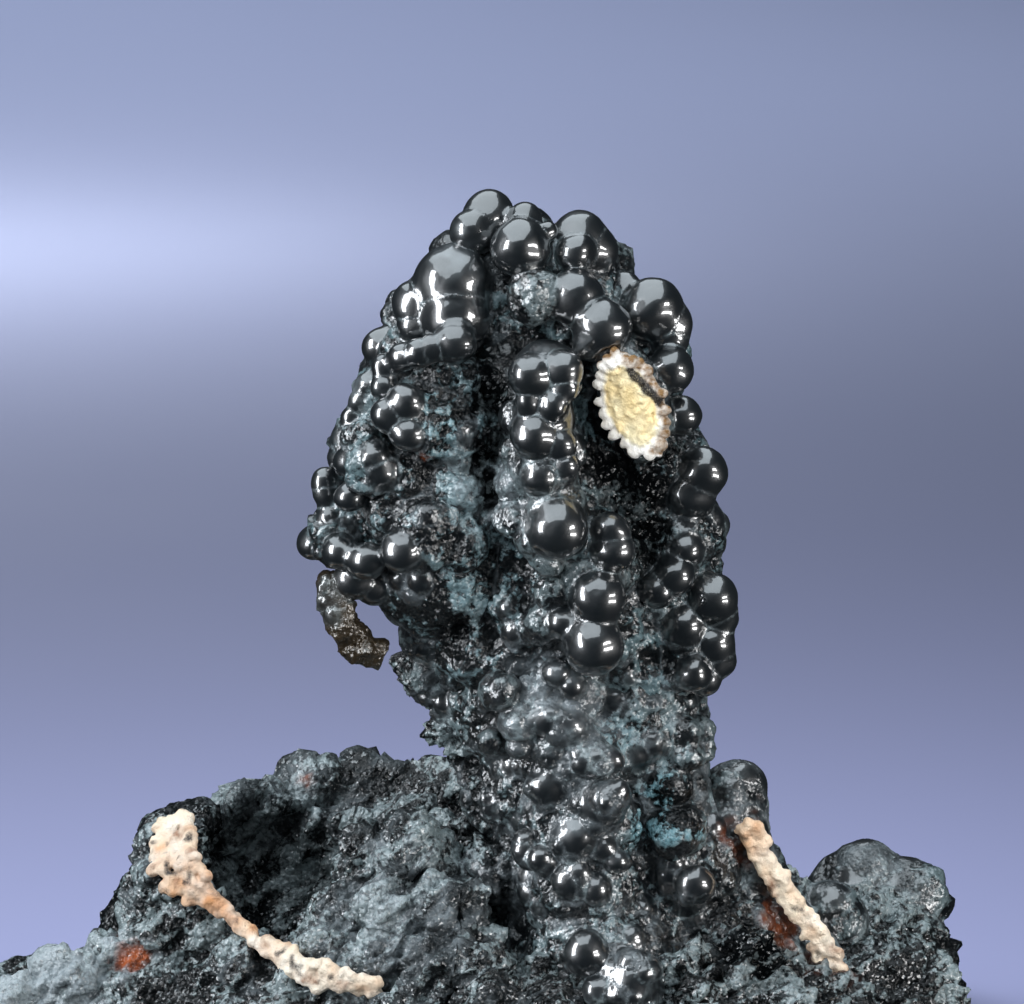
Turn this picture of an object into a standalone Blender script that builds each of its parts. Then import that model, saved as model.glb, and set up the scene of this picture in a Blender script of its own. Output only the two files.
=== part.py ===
"""A botryoidal goethite specimen: a knobbly column on a crusted base, sawn flat underneath.

Units in the tables are millimetres. x runs to the right, y away from the viewer, and a lump's
"seen" height is the height at which it shows from the front, with the view tilted 12 degrees
down. stand() turns that into a true height above the sawn foot.
"""

import math
import random

import bmesh
import bpy
from mathutils import Matrix, Vector

MM = 0.001
NODE = "goethite_specimen"

# Driving dimensions, in mm.
VIEW_TILT = math.radians(12.0)
FOOT_DROP = 8.0
COLUMN_VOXEL = 0.6
COLUMN_TRIANGLES = 7000
BASE_VOXEL = 0.9
BASE_TRIANGLES = 3600

# Dense inner masses that carry the lumps: (x, seen, y, radius).
HEAD_MASS = [
    (4.0, 71.4, 1.0, 5.4),
    (11.0, 70.4, 0.0, 5.8),
    (-0.5, 67.4, -1.0, 5.0),
    (7.0, 64.0, 1.5, 9.0),
    (17.0, 64.6, 0.0, 5.4),
    (-3.0, 58.0, -1.0, 7.4),
    (8.0, 53.6, 2.0, 10.4),
    (18.0, 54.0, 0.5, 6.6),
    (-6.5, 49.8, -1.5, 6.2),
    (-1.5, 44.4, -2.0, 7.6),
    (10.0, 43.4, 0.5, 10.4),
    (20.0, 42.6, 0.0, 6.0),
    (5.5, 37.2, 0.5, 8.8),
    (16.0, 35.6, 0.5, 7.6),
    (8.2, 60.6, -5.5, 4.2),
    (8.0, 55.2, -5.0, 4.4),
    (9.0, 49.6, -5.6, 4.4),
    (12.6, 44.4, -6.0, 5.0),
    (12.6, 38.4, -6.0, 5.4),
    (7.0, 39.6, -5.4, 4.6),
    (-11.4, 46.8, -3.6, 3.0),
    (-11.6, 50.4, -3.2, 2.6),
    (-9.4, 55.8, -3.2, 3.2),
    (-7.6, 60.8, -3.2, 2.8),
    (-5.0, 64.6, -3.4, 2.8),
    (8.8, 74.2, -2.0, 3.2),
    (2.0, 57.0, -3.6, 4.0),
    (2.8, 50.0, -5.0, 3.8),
    (5.2, 52.0, -6.6, 3.0),
    (12.4, 46.4, -8.4, 3.4),
    (22.2, 35.0, -2.6, 4.0),
    (22.0, 47.0, -2.0, 4.2),
    (-12.4, 46.6, -4.6, 2.6),
    (0.0, 66.0, 4.0, 7.0),
    (8.0, 68.0, 4.0, 7.0),
    (0.0, 54.0, 5.0, 7.4),
    (13.0, 58.0, 4.0, 8.0),
]
STALK_MASS = [
    (6.4, 31.0, 0.5, 7.8),
    (9.4, 31.0, -4.4, 5.4),
    (11.4, 25.0, -4.4, 5.8),
    (12.0, 18.4, -4.8, 6.0),
    (12.4, 11.6, -4.8, 6.4),
    (14.0, 4.4, -5.6, 7.6),
    (17.0, 28.6, 0.0, 7.4),
    (8.6, 22.4, 1.0, 7.6),
    (18.0, 21.4, 1.0, 7.2),
    (11.6, 14.4, 0.5, 9.0),
    (21.0, 13.6, 1.5, 8.0),
    (14.0, 4.4, 0.0, 11.0),
    (26.0, 4.4, 2.0, 9.6),
]
BASE_MASS = [
    (-41.0, -9.0, 6.0, 9.5),
    (-51.0, -11.0, 6.0, 8.6),
    (-30.0, -7.0, 2.0, 11.5),
    (-16.0, -10.0, -8.0, 11.5),
    (2.0, -11.0, -11.0, 12.0),
    (-8.0, 1.0, 0.0, 10.5),
    (18.0, -12.6, -12.0, 12.0),
    (32.0, -8.0, -8.0, 12.0),
    (42.0, -5.0, 6.0, 10.5),
    (-27.0, 2.0, 20.0, 11.0),
    (-10.0, 5.0, 22.0, 13.0),
    (10.0, 4.0, 20.0, 13.0),
    (26.0, 2.0, 18.0, 12.0),
    (41.0, 0.0, 22.0, 10.5),
    (0.0, 10.0, 8.0, 8.0),
    (-12.0, 10.0, 20.0, 8.0),
    (-42.0, -6.0, 20.0, 9.5),
    (26.0, 6.0, 4.0, 9.0),
    (-20.0, 7.4, 27.0, 8.6),
    (10.0, -10.0, -9.0, 10.4),
    (-23.0, -1.0, -2.0, 6.4),
    (-34.0, -14.0, -8.0, 9.0),
    (10.0, -2.0, -6.0, 9.0),
    (-33.0, -9.0, 12.0, 10.0),
    (-20.0, -9.0, 8.0, 10.0),
    (-8.0, -8.0, 8.0, 11.0),
    (5.0, -8.0, 8.0, 12.0),
    (18.0, -8.0, 6.0, 12.0),
    (30.0, -8.0, 8.0, 12.0),
    (-14.0, -8.0, 16.0, 10.0),
    (16.0, -2.0, 8.0, 12.0),
]

# Rounded lumps: (x, seen, y, radius).
CROWN = [
    (2.9, 78.5, -1.0, 2.6),
    (1.4, 76.9, -3.0, 2.1),
    (6.5, 77.9, -3.0, 1.9),
    (5.9, 75.4, -6.0, 2.9),
    (8.8, 77.0, -5.2, 1.0),
    (11.8, 76.4, -2.5, 2.7),
    (13.2, 75.2, -2.5, 2.4),
    (11.6, 74.8, -5.2, 1.8),
    (7.5, 70.4, -7.0, 2.8),
    (9.0, 73.0, 2.5, 3.6),
]
LEFT_SHOULDER = [
    (-0.8, 71.7, -4.0, 3.9),
    (-4.2, 69.8, -4.0, 2.4),
    (-4.0, 67.6, -4.5, 2.1),
    (-0.5, 68.6, -5.5, 3.4),
    (-0.3, 65.8, -9.0, 2.1),
    (-7.6, 65.6, -2.0, 2.0),
]
LEFT_SIDE = [
    (-5.6, 64.4, -8.6, 1.5),
    (-4.0, 64.8, -9.2, 1.4),
    (-2.6, 65.2, -9.4, 1.3),
    (-7.4, 63.6, -7.6, 1.4),
    (-7.4, 61.6, -8.2, 1.3),
    (-9.2, 61.8, -4.4, 1.1),
    (-9.9, 60.2, -4.4, 1.1),
    (-10.9, 58.6, -4.2, 1.0),
    (-11.7, 56.6, -4.0, 1.1),
    (-12.0, 54.6, -4.2, 1.1),
    (-2.6, 58.4, -7.4, 4.4),
    (-5.2, 60.0, -10.6, 1.9),
    (-6.9, 58.7, -10.6, 1.7),
    (-5.1, 56.9, -11.2, 1.7),
    (-9.2, 56.5, -8.0, 2.0),
    (-11.0, 54.2, -7.2, 1.5),
    (-8.4, 53.8, -8.2, 2.7),
    (-13.5, 52.3, -4.6, 1.3),
    (-13.3, 50.9, -5.0, 1.2),
    (-10.9, 50.7, -8.2, 1.5),
    (-13.0, 48.8, -5.4, 1.0),
    (-14.7, 46.1, -4.6, 1.5),
    (-11.8, 45.3, -8.0, 1.7),
    (-9.3, 44.4, -9.2, 2.0),
    (-5.7, 45.4, -11.0, 2.1),
    (-3.2, 47.4, -8.8, 3.6),
    (-10.4, 42.6, -6.6, 1.9),
    (-8.4, 41.6, -6.0, 1.7),
]
HOOK = [
    (-13.0, 42.0, -6.2, 1.2),
    (-12.6, 40.6, -6.4, 1.4),
    (-11.8, 39.0, -6.6, 1.6),
    (-11.0, 37.6, -6.6, 1.6),
    (-10.2, 36.2, -6.4, 1.6),
    (-9.2, 35.2, -6.2, 1.4),
]
CENTRE_CHAIN = [
    (8.6, 62.8, -10.0, 3.4),
    (7.0, 62.6, -12.6, 2.1),
    (10.2, 63.2, -12.4, 1.9),
    (10.4, 61.2, -13.0, 1.3),
    (8.4, 58.4, -10.6, 3.2),
    (6.7, 59.9, -13.2, 1.2),
    (9.3, 59.6, -13.4, 1.4),
    (7.3, 56.7, -12.8, 2.3),
    (10.0, 55.9, -12.8, 1.5),
    (8.4, 53.6, -10.8, 3.2),
    (10.5, 53.8, -13.0, 1.2),
    (7.8, 52.6, -13.0, 1.7),
    (4.2, 58.4, -10.0, 1.8),
    (3.8, 55.0, -10.0, 1.7),
    (3.0, 51.9, -10.2, 1.8),
    (3.2, 48.8, -10.6, 1.8),
    (5.4, 48.4, -11.4, 1.5),
    (9.2, 49.6, -10.8, 3.2),
    (9.6, 47.7, -13.0, 3.0),
    (7.2, 46.4, -12.4, 1.5),
    (8.6, 44.6, -12.0, 1.5),
    (15.0, 47.4, -11.4, 1.9),
    (15.2, 45.4, -11.6, 2.1),
    (13.8, 40.7, -12.0, 2.8),
    (13.2, 36.2, -12.4, 3.0),
    (10.2, 38.2, -11.8, 1.5),
    (9.0, 41.4, -10.8, 1.7),
    (8.2, 38.0, -10.0, 2.2),
    (12.8, 42.8, -8.6, 3.8),
]
RIGHT_SIDE = [
    (11.5, 70.2, -7.0, 2.9),
    (14.0, 67.4, -8.4, 2.9),
    (13.0, 65.8, -8.6, 1.7),
    (16.5, 71.4, -1.5, 1.7),
    (19.0, 69.2, -4.2, 3.1),
    (21.2, 67.9, -4.0, 2.0),
    (20.8, 66.2, -4.4, 1.8),
    (21.0, 63.2, -6.6, 2.3),
    (22.2, 58.8, -5.4, 2.0),
    (24.2, 53.2, -4.4, 2.5),
    (23.0, 50.9, -4.4, 2.4),
    (22.5, 45.7, -5.6, 1.7),
    (22.3, 47.7, -4.8, 1.4),
    (21.2, 42.9, -6.6, 2.0),
    (19.5, 41.4, -7.0, 1.7),
    (25.2, 40.6, -4.6, 2.6),
    (26.2, 38.6, -4.4, 1.7),
    (25.5, 36.1, -4.6, 2.0),
    (25.8, 34.4, -4.2, 1.8),
    (23.2, 33.2, -6.6, 1.7),
    (24.4, 32.5, -4.8, 1.6),
    (22.3, 37.9, -5.0, 2.2),
]
BROKEN_STUB = [
    (15.8, 63.4, -7.6, 2.6),
    (17.0, 61.0, -7.4, 3.4),
    (17.8, 58.8, -7.2, 3.2),
    (18.4, 56.8, -7.0, 2.6),
]
STALK_LUMPS = [
    (9.6, 33.2, -9.6, 1.3),
    (11.2, 31.8, -9.8, 1.3),
    (8.5, 28.6, -9.2, 1.6),
    (11.0, 27.9, -9.4, 1.8),
    (4.0, 31.4, -8.4, 1.9),
    (5.8, 28.4, -8.4, 1.9),
    (6.0, 25.8, -8.2, 1.3),
    (3.0, 26.4, -7.2, 1.2),
    (9.0, 25.4, -8.6, 1.7),
    (8.8, 21.9, -8.4, 2.1),
    (12.2, 24.6, -9.4, 1.2),
    (13.6, 24.6, -9.6, 1.4),
    (15.1, 24.6, -9.4, 1.3),
    (14.0, 20.1, -9.6, 2.6),
    (14.9, 20.9, -11.6, 1.4),
    (11.5, 16.9, -9.8, 2.3),
    (14.4, 15.8, -10.2, 1.2),
    (15.6, 14.4, -10.4, 1.1),
    (11.0, 12.4, -10.4, 1.8),
    (13.6, 11.6, -10.8, 1.5),
    (8.6, 14.4, -9.4, 1.4),
    (6.5, 15.4, -8.6, 1.4),
    (23.5, 11.9, -8.0, 2.0),
    (12.5, 5.4, -12.8, 2.3),
    (17.2, 2.4, -13.4, 2.9),
    (14.4, 1.4, -13.8, 1.6),
    (24.0, 27.4, -3.6, 1.4),
    (24.4, 25.2, -3.8, 1.3),
    (22.6, 27.2, -5.2, 1.6),
    (22.8, 24.8, -5.4, 1.5),
    (20.8, 21.8, -5.2, 2.4),
    (21.6, 17.4, -5.8, 2.8),
    (-3.4, 33.4, 0.0, 2.0),
    (-1.8, 31.0, 0.5, 2.4),
    (-1.2, 27.8, 1.5, 2.2),
    (0.6, 25.4, 1.5, 2.2),
    (1.8, 23.2, 1.0, 2.0),
    (3.6, 20.4, -1.5, 3.0),
    (3.6, 13.0, -3.0, 3.4),
]
RIGHT_FLANK = [
    (26.5, 20.4, 1.5, 2.4),
    (28.0, 20.8, 2.0, 2.2),
    (29.0, 19.0, 2.0, 1.5),
    (27.2, 16.6, 1.0, 3.3),
    (29.4, 12.4, 1.5, 3.2),
    (31.8, 8.0, 1.5, 3.2),
    (34.6, 3.6, 1.5, 3.2),
    (37.0, 0.2, 1.5, 3.2),
    (38.0, 7.8, 7.0, 2.7),
]
RIGHT_REAR = [
    (41.8, 11.8, 24.0, 2.3),
    (40.0, 9.6, 24.0, 3.4),
    (44.6, 8.8, 24.0, 3.6),
    (47.6, 9.6, 23.0, 2.6),
    (49.2, 8.4, 23.0, 1.7),
    (44.0, 4.4, 22.0, 5.0),
    (47.2, 2.4, 21.0, 3.2),
]
BASIN_RIM = [
    (-29.4, 16.4, 7.0, 1.9),
    (-27.4, 16.4, 9.6, 2.3),
    (-28.8, 14.0, 5.0, 2.8),
    (-29.0, 10.6, 3.0, 3.6),
    (-26.8, 15.2, 16.0, 3.2),
    (-23.0, 16.4, 20.0, 3.4),
    (-19.4, 18.0, 25.0, 3.6),
    (-16.0, 19.8, 28.0, 3.4),
    (-11.6, 19.4, 28.0, 3.2),
    (-7.2, 18.6, 27.0, 3.2),
    (-3.0, 19.0, 26.0, 3.4),
    (1.0, 18.6, 24.0, 3.6),
    (-30.4, 6.6, 2.0, 4.0),
    (-26.0, 7.4, 0.5, 3.2),
    (-21.6, 3.8, -4.0, 3.2),
    (-17.0, 1.4, -7.0, 3.2),
    (-11.6, -0.2, -8.0, 3.2),
    (-6.0, 9.0, 4.0, 5.6),
    (-9.0, 10.4, 18.0, 6.0),
]
SLOPE_LUMPS = [
    (-9.4, 14.0, -2.6, 2.8),
    (-4.4, 15.2, -4.0, 3.0),
    (-6.6, 9.4, -7.4, 3.0),
    (-1.4, 9.6, -8.4, 3.2),
    (-11.6, 9.0, -4.4, 2.8),
    (-13.4, 4.6, -7.0, 2.8),
    (-8.2, 4.0, -9.8, 3.0),
    (-3.0, 3.6, -11.0, 3.2),
    (1.6, 4.6, -11.4, 3.0),
    (3.4, -0.6, -14.4, 3.4),
    (-5.4, -1.6, -14.0, 3.4),
    (9.0, -2.4, -15.4, 3.2),
    (23.0, 2.0, -12.0, 3.4),
    (28.0, 3.0, -9.0, 3.6),
    (32.0, -1.0, -11.0, 3.6),
    (25.4, -3.6, -15.0, 3.6),
]
LEFT_FOOT = [
    (-35.6, 2.4, 2.0, 3.6),
    (-40.0, 1.0, 0.0, 3.4),
    (-44.6, -1.4, -1.0, 3.4),
    (-50.0, -2.6, 0.0, 3.4),
    (-56.0, -3.6, 5.0, 3.6),
]

# Hollow of the base: the middle and half-lengths of the egg that scoops it out.
BASIN_AT = (-19.0, 11.2, 11.0)
BASIN_HALF = (9.0, 12.0, 10.0)

# The broken stub's flat section: a point on it, the way it faces, and the size of the saw-off block.
SECTION_AT = (17.2, 60.0, -9.6)
SECTION_FACING = (-0.28, -0.94, -0.16)
SECTION_BLOCK = (9.6, 13.4, 6.0)
SECTION_ROLL = math.radians(18.0)

# Lumps on the sides that the front doesn't show, wound round each mass by the golden angle.
GOLDEN_ANGLE = math.pi * (3.0 - math.sqrt(5.0))
REAR_HEAD = {"axis": (6.0, 1.0), "seen": (33.0, 76.0), "half": (13.6, 10.4), "count": 46, "radius": (2.4, 3.8)}
REAR_STALK = {"axis": (11.5, 1.0), "seen": (10.0, 38.0), "half": (9.6, 7.6), "count": 30, "radius": (2.0, 3.0)}
RING_BASE = {"axis": (-3.0, 6.0), "seen": (-14.0, -2.0), "half": (50.0, 26.5), "count": 46, "radius": (4.0, 6.0)}
REAR_BASE = {"axis": (1.0, 10.0), "seen": (-4.0, 12.0), "half": (33.0, 22.0), "count": 50, "radius": (2.8, 4.6)}
REAR_REACH = math.radians(104.0)


def stand(x, seen, y):
    """The true place in mm of a point read at that height in the tilted front view."""
    z = FOOT_DROP + (seen - y * math.sin(VIEW_TILT)) / math.cos(VIEW_TILT)
    return Vector((x, y, z))


def wound_lumps(spec, seed, reach=math.pi):
    """Lumps round an upright egg, as far as reach from straight behind: (place, radius)."""
    dice = random.Random(seed)
    low, high = spec["seen"]
    lumps = []
    for step in range(spec["count"]):
        share = (step + 0.5) / spec["count"]
        bearing = (step * GOLDEN_ANGLE) % math.tau
        height = low + (high - low) * share
        radius = dice.uniform(*spec["radius"])
        behind = abs((bearing - math.pi / 2 + math.pi) % math.tau - math.pi)
        if behind > reach:
            continue
        swell = math.sqrt(1.0 - abs(2.0 * share - 1.0) ** 2.6)
        x = spec["axis"][0] + spec["half"][0] * swell * math.cos(bearing)
        y = spec["axis"][1] + spec["half"][1] * swell * math.sin(bearing)
        flat_seen = height + y * math.sin(VIEW_TILT)
        lumps.append((stand(x, flat_seen, y), radius))
    return lumps


def placed(groups):
    """Every sphere of those tables as (place in mm, radius in mm)."""
    return [(stand(x, seen, y), radius) for group in groups for x, seen, y, radius in group]


def column_lumps():
    """The spheres of the column and its head."""
    lumps = placed(
        (
            HEAD_MASS,
            STALK_MASS,
            CROWN,
            LEFT_SHOULDER,
            LEFT_SIDE,
            HOOK,
            CENTRE_CHAIN,
            RIGHT_SIDE,
            BROKEN_STUB,
            STALK_LUMPS,
        )
    )
    lumps += wound_lumps(REAR_HEAD, seed=3, reach=REAR_REACH)
    lumps += wound_lumps(REAR_STALK, seed=5, reach=REAR_REACH)
    return lumps


def base_lumps():
    """The spheres of the crusted base."""
    lumps = placed((BASE_MASS, SLOPE_LUMPS, RIGHT_FLANK, RIGHT_REAR, BASIN_RIM, LEFT_FOOT))
    lumps += wound_lumps(RING_BASE, seed=7)
    lumps += wound_lumps(REAR_BASE, seed=9, reach=REAR_REACH)
    return lumps


def clear_scene():
    """Empties the startup scene."""
    for thing in list(bpy.data.objects):
        bpy.data.objects.remove(thing, do_unlink=True)


def link(name, mesh):
    """A new object with that mesh, in the scene."""
    thing = bpy.data.objects.new(name, mesh)
    bpy.context.scene.collection.objects.link(thing)
    return thing


def helper(name, mesh):
    """A cutter: it shapes the specimen and isn't part of it."""
    thing = link(name, mesh)
    thing.hide_render = True
    thing.display_type = "WIRE"
    return thing


def lump_mesh(name, lumps):
    """Those spheres, overlapping, in one mesh."""
    shape = bmesh.new()
    for place, radius in lumps:
        bmesh.ops.create_icosphere(
            shape,
            subdivisions=3,
            radius=radius * MM,
            matrix=Matrix.Translation(place * MM),
        )
    mesh = bpy.data.meshes.new(name)
    shape.to_mesh(mesh)
    shape.free()
    return mesh


def basin_cutter():
    """The egg that scoops the hollow out of the left of the base."""
    shape = bmesh.new()
    half = Vector(BASIN_HALF) * MM
    place = Matrix.Translation(stand(*BASIN_AT) * MM) @ Matrix.Diagonal((*half, 1.0))
    bmesh.ops.create_icosphere(shape, subdivisions=4, radius=1.0, matrix=place)
    mesh = bpy.data.meshes.new("basin_cutter")
    shape.to_mesh(mesh)
    shape.free()
    return helper("basin_cutter", mesh)


def section_cutter():
    """The block that leaves the stub's oval broken face."""
    facing = Vector(SECTION_FACING).normalized()
    turn = facing.to_track_quat("Z", "Y").to_matrix().to_4x4()
    roll = Matrix.Rotation(SECTION_ROLL, 4, "Z")
    size = Vector(SECTION_BLOCK)
    middle = stand(*SECTION_AT) + facing * size.z / 2.0
    shape = bmesh.new()
    place = Matrix.Translation(middle * MM) @ turn @ roll @ Matrix.Diagonal((*(size * MM), 1.0))
    bmesh.ops.create_cube(shape, size=1.0, matrix=place)
    mesh = bpy.data.meshes.new("section_cutter")
    shape.to_mesh(mesh)
    shape.free()
    return helper("section_cutter", mesh)


def foot_cutter():
    """The block whose top is the saw cut under the base."""
    width, depth = 200.0 * MM, 60.0 * MM
    shape = bmesh.new()
    place = Matrix.Translation((0.0, 0.0, -depth / 2.0)) @ Matrix.Diagonal((width, width, depth, 1.0))
    bmesh.ops.create_cube(shape, size=1.0, matrix=place)
    mesh = bpy.data.meshes.new("foot_cutter")
    shape.to_mesh(mesh)
    shape.free()
    return helper("foot_cutter", mesh)


def goethite():
    """Black iron oxide with a near-metallic lustre."""
    material = bpy.data.materials.new("goethite")
    material.use_nodes = True
    shader = material.node_tree.nodes["Principled BSDF"]
    shader.inputs["Base Color"].default_value = (0.014, 0.016, 0.018, 1.0)
    shader.inputs["Roughness"].default_value = 0.22
    shader.inputs["Metallic"].default_value = 0.0
    shader.inputs["IOR"].default_value = 2.3
    return material


def add_boolean(thing, name, operation, other):
    """Takes the other's shape out of the thing, or joins it on."""
    modifier = thing.modifiers.new(name, "BOOLEAN")
    modifier.operation = operation
    modifier.object = other


def fuse(thing, voxel):
    """Grows the overlapping spheres into one skin."""
    modifier = thing.modifiers.new("fuse", "REMESH")
    modifier.mode = "VOXEL"
    modifier.voxel_size = voxel * MM
    modifier.use_smooth_shade = True


def thin(thing, triangles):
    """Thins the skin to about that many triangles, flat parts first."""
    bpy.context.view_layer.update()
    counted = thing.evaluated_get(bpy.context.evaluated_depsgraph_get()).data
    counted.calc_loop_triangles()
    modifier = thing.modifiers.new("thin", "DECIMATE")
    modifier.ratio = triangles / len(counted.loop_triangles)


def crusted_base():
    """The base with its hollow, which the column is joined to."""
    thing = helper("crusted_base", lump_mesh("base_lumps", base_lumps()))
    fuse(thing, BASE_VOXEL)
    add_boolean(thing, "basin", "DIFFERENCE", basin_cutter())
    thin(thing, BASE_TRIANGLES)
    return thing


def specimen():
    """The whole specimen as one solid."""
    thing = link(NODE, lump_mesh(NODE, column_lumps()))
    thing.data.materials.append(goethite())
    fuse(thing, COLUMN_VOXEL)
    add_boolean(thing, "section", "DIFFERENCE", section_cutter())
    thin(thing, COLUMN_TRIANGLES)
    add_boolean(thing, "base", "UNION", crusted_base())
    add_boolean(thing, "foot", "DIFFERENCE", foot_cutter())
    return thing


def main():
    """Builds the specimen in an empty scene."""
    clear_scene()
    specimen()


main()
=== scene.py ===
"""Looks of a botryoidal goethite specimen: an upright knobbly column with a rounded head, on a crusted base.

Table units are millimetres. x runs to the right, y away from the viewer, and "seen" is the height at
which a lump shows from the front with the view tilted 12 degrees down. stand() makes it a true height.
"""

import logging
import math
import random
from dataclasses import dataclass, field, replace
from enum import Enum
from typing import Any, Optional, Sequence, Union

import bmesh
import bpy
import numpy as np
from mathutils import Matrix, Quaternion, Vector

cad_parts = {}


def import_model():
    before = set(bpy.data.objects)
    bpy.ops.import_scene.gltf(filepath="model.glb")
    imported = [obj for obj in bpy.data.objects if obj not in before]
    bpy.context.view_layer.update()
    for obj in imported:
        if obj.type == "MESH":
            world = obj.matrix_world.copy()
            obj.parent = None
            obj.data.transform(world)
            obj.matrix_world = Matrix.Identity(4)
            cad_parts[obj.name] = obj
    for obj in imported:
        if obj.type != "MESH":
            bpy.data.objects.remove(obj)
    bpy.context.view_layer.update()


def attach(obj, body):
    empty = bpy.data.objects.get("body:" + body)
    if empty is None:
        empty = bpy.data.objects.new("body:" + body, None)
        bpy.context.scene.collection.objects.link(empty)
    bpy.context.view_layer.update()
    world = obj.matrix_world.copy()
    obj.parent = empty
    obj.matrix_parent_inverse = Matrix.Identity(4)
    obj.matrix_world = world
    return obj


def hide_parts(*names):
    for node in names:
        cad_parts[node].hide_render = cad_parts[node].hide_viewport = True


LOG = logging.getLogger("goethite_specimen")
MM = 0.001
BODY = "root"
NODE = "goethite_specimen"
VIEW_TILT = math.radians(12.0)
VIEW_UP = Vector((0.0, math.sin(VIEW_TILT), math.cos(VIEW_TILT)))
VIEW_BACK = Vector((0.0, -math.cos(VIEW_TILT), math.sin(VIEW_TILT)))
FOOT_DROP = 8.0
GOLDEN_ANGLE = math.pi * (3.0 - math.sqrt(5.0))

Row = tuple[float, float, float, float]
Place = tuple[float, float, float]
Array = np.ndarray
Mesh = bpy.types.Mesh
Shape = bmesh.types.BMesh
Socket = bpy.types.NodeSocket
Thing = bpy.types.Object
Tree = bpy.types.NodeTree
MATH = "ShaderNodeMath"
MIX = "ShaderNodeMix"
VECTOR = "ShaderNodeVectorMath"
NOISE = "ShaderNodeTexNoise"


class Skin(Enum):
    """How the surface of a lump grew."""

    GLOSSY = "glossy"
    SATIN = "satin"
    DRUSY = "drusy"
    CRUMBLY = "crumbly"
    KNOBBY = "knobby"
    BRONZE = "bronze"


@dataclass(frozen=True)
class SkinLook:
    """What a skin gives the mesh and the material.

    Attributes:
        gloss: Share of mirror-smooth crust, 0 to 1.
        teal: Share of the blue-green drusy tint.
        crumble: Height of the crumbly relief in mm.
        domes: Height of the small rounded grains in mm.
        wobble: Height of the slow waves that keep a lump from being a perfect ball, in mm.
        bronze: Share of brown metallic tarnish.
    """

    gloss: float
    teal: float
    crumble: float
    domes: float
    wobble: float
    bronze: float = 0.0


SKINS: dict[Skin, SkinLook] = {
    Skin.GLOSSY: SkinLook(gloss=1.0, teal=0.05, crumble=0.0, domes=0.04, wobble=0.26),
    Skin.SATIN: SkinLook(gloss=0.64, teal=0.2, crumble=0.15, domes=0.36, wobble=0.4),
    Skin.DRUSY: SkinLook(gloss=0.45, teal=0.7, crumble=0.5, domes=0.55, wobble=0.6),
    Skin.CRUMBLY: SkinLook(gloss=0.15, teal=0.1, crumble=1.0, domes=1.3, wobble=0.6),
    Skin.KNOBBY: SkinLook(gloss=0.45, teal=0.4, crumble=0.35, domes=0.7, wobble=0.5),
    Skin.BRONZE: SkinLook(gloss=0.5, teal=0.0, crumble=0.7, domes=0.3, wobble=0.4, bronze=1.0),
}

# Lumps as (x, seen, y, radius).
HEAD_MASS: list[Row] = [
    (4.0, 71.4, 1.0, 5.4), (11.0, 70.4, 0.0, 5.8), (-0.5, 67.4, -1.0, 5.0), (7.0, 64.0, 1.5, 9.0),
    (17.0, 64.6, 0.0, 5.4), (-3.0, 58.0, -1.0, 7.4), (8.0, 53.6, 2.0, 10.4), (18.0, 54.0, 0.5, 6.6),
    (-6.5, 49.8, -1.5, 6.2), (-1.5, 44.4, -2.0, 7.6), (10.0, 43.4, 0.5, 10.4), (20.0, 42.6, 0.0, 6.0),
    (5.5, 37.2, 0.5, 8.8), (16.0, 35.6, 0.5, 7.6), (8.2, 60.6, -5.5, 4.2), (8.0, 55.2, -5.0, 4.4),
    (9.0, 49.6, -5.6, 4.4), (12.6, 44.4, -6.0, 5.0), (12.6, 38.4, -6.0, 5.4), (7.0, 39.6, -5.4, 4.6),
    (-11.4, 46.8, -3.6, 3.0), (-11.6, 50.4, -3.2, 2.6), (-9.4, 55.8, -3.2, 3.2), (-7.6, 60.8, -3.2, 2.8),
    (-5.0, 64.6, -3.4, 2.8), (8.8, 74.2, -2.0, 3.2), (2.0, 57.0, -3.6, 4.0), (2.8, 50.0, -5.0, 3.8),
    (5.2, 52.0, -6.6, 3.0), (12.4, 46.4, -8.4, 3.4), (22.2, 35.0, -2.6, 4.0), (22.0, 47.0, -2.0, 4.2),
    (-12.4, 46.6, -4.6, 2.6), (0.0, 66.0, 4.0, 7.0), (8.0, 68.0, 4.0, 7.0), (0.0, 54.0, 5.0, 7.4),
    (13.0, 58.0, 4.0, 8.0),
]
STALK_MASS: list[Row] = [
    (6.4, 31.0, 0.5, 7.8), (9.4, 31.0, -4.4, 5.4), (11.4, 25.0, -4.4, 5.8), (12.0, 18.4, -4.8, 6.0),
    (12.4, 11.6, -4.8, 6.4), (14.0, 4.4, -5.6, 7.6), (17.0, 28.6, 0.0, 7.4), (8.6, 22.4, 1.0, 7.6),
    (18.0, 21.4, 1.0, 7.2), (11.6, 14.4, 0.5, 9.0), (21.0, 13.6, 1.5, 8.0), (14.0, 4.4, 0.0, 11.0),
    (26.0, 4.4, 2.0, 9.6),
]
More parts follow.
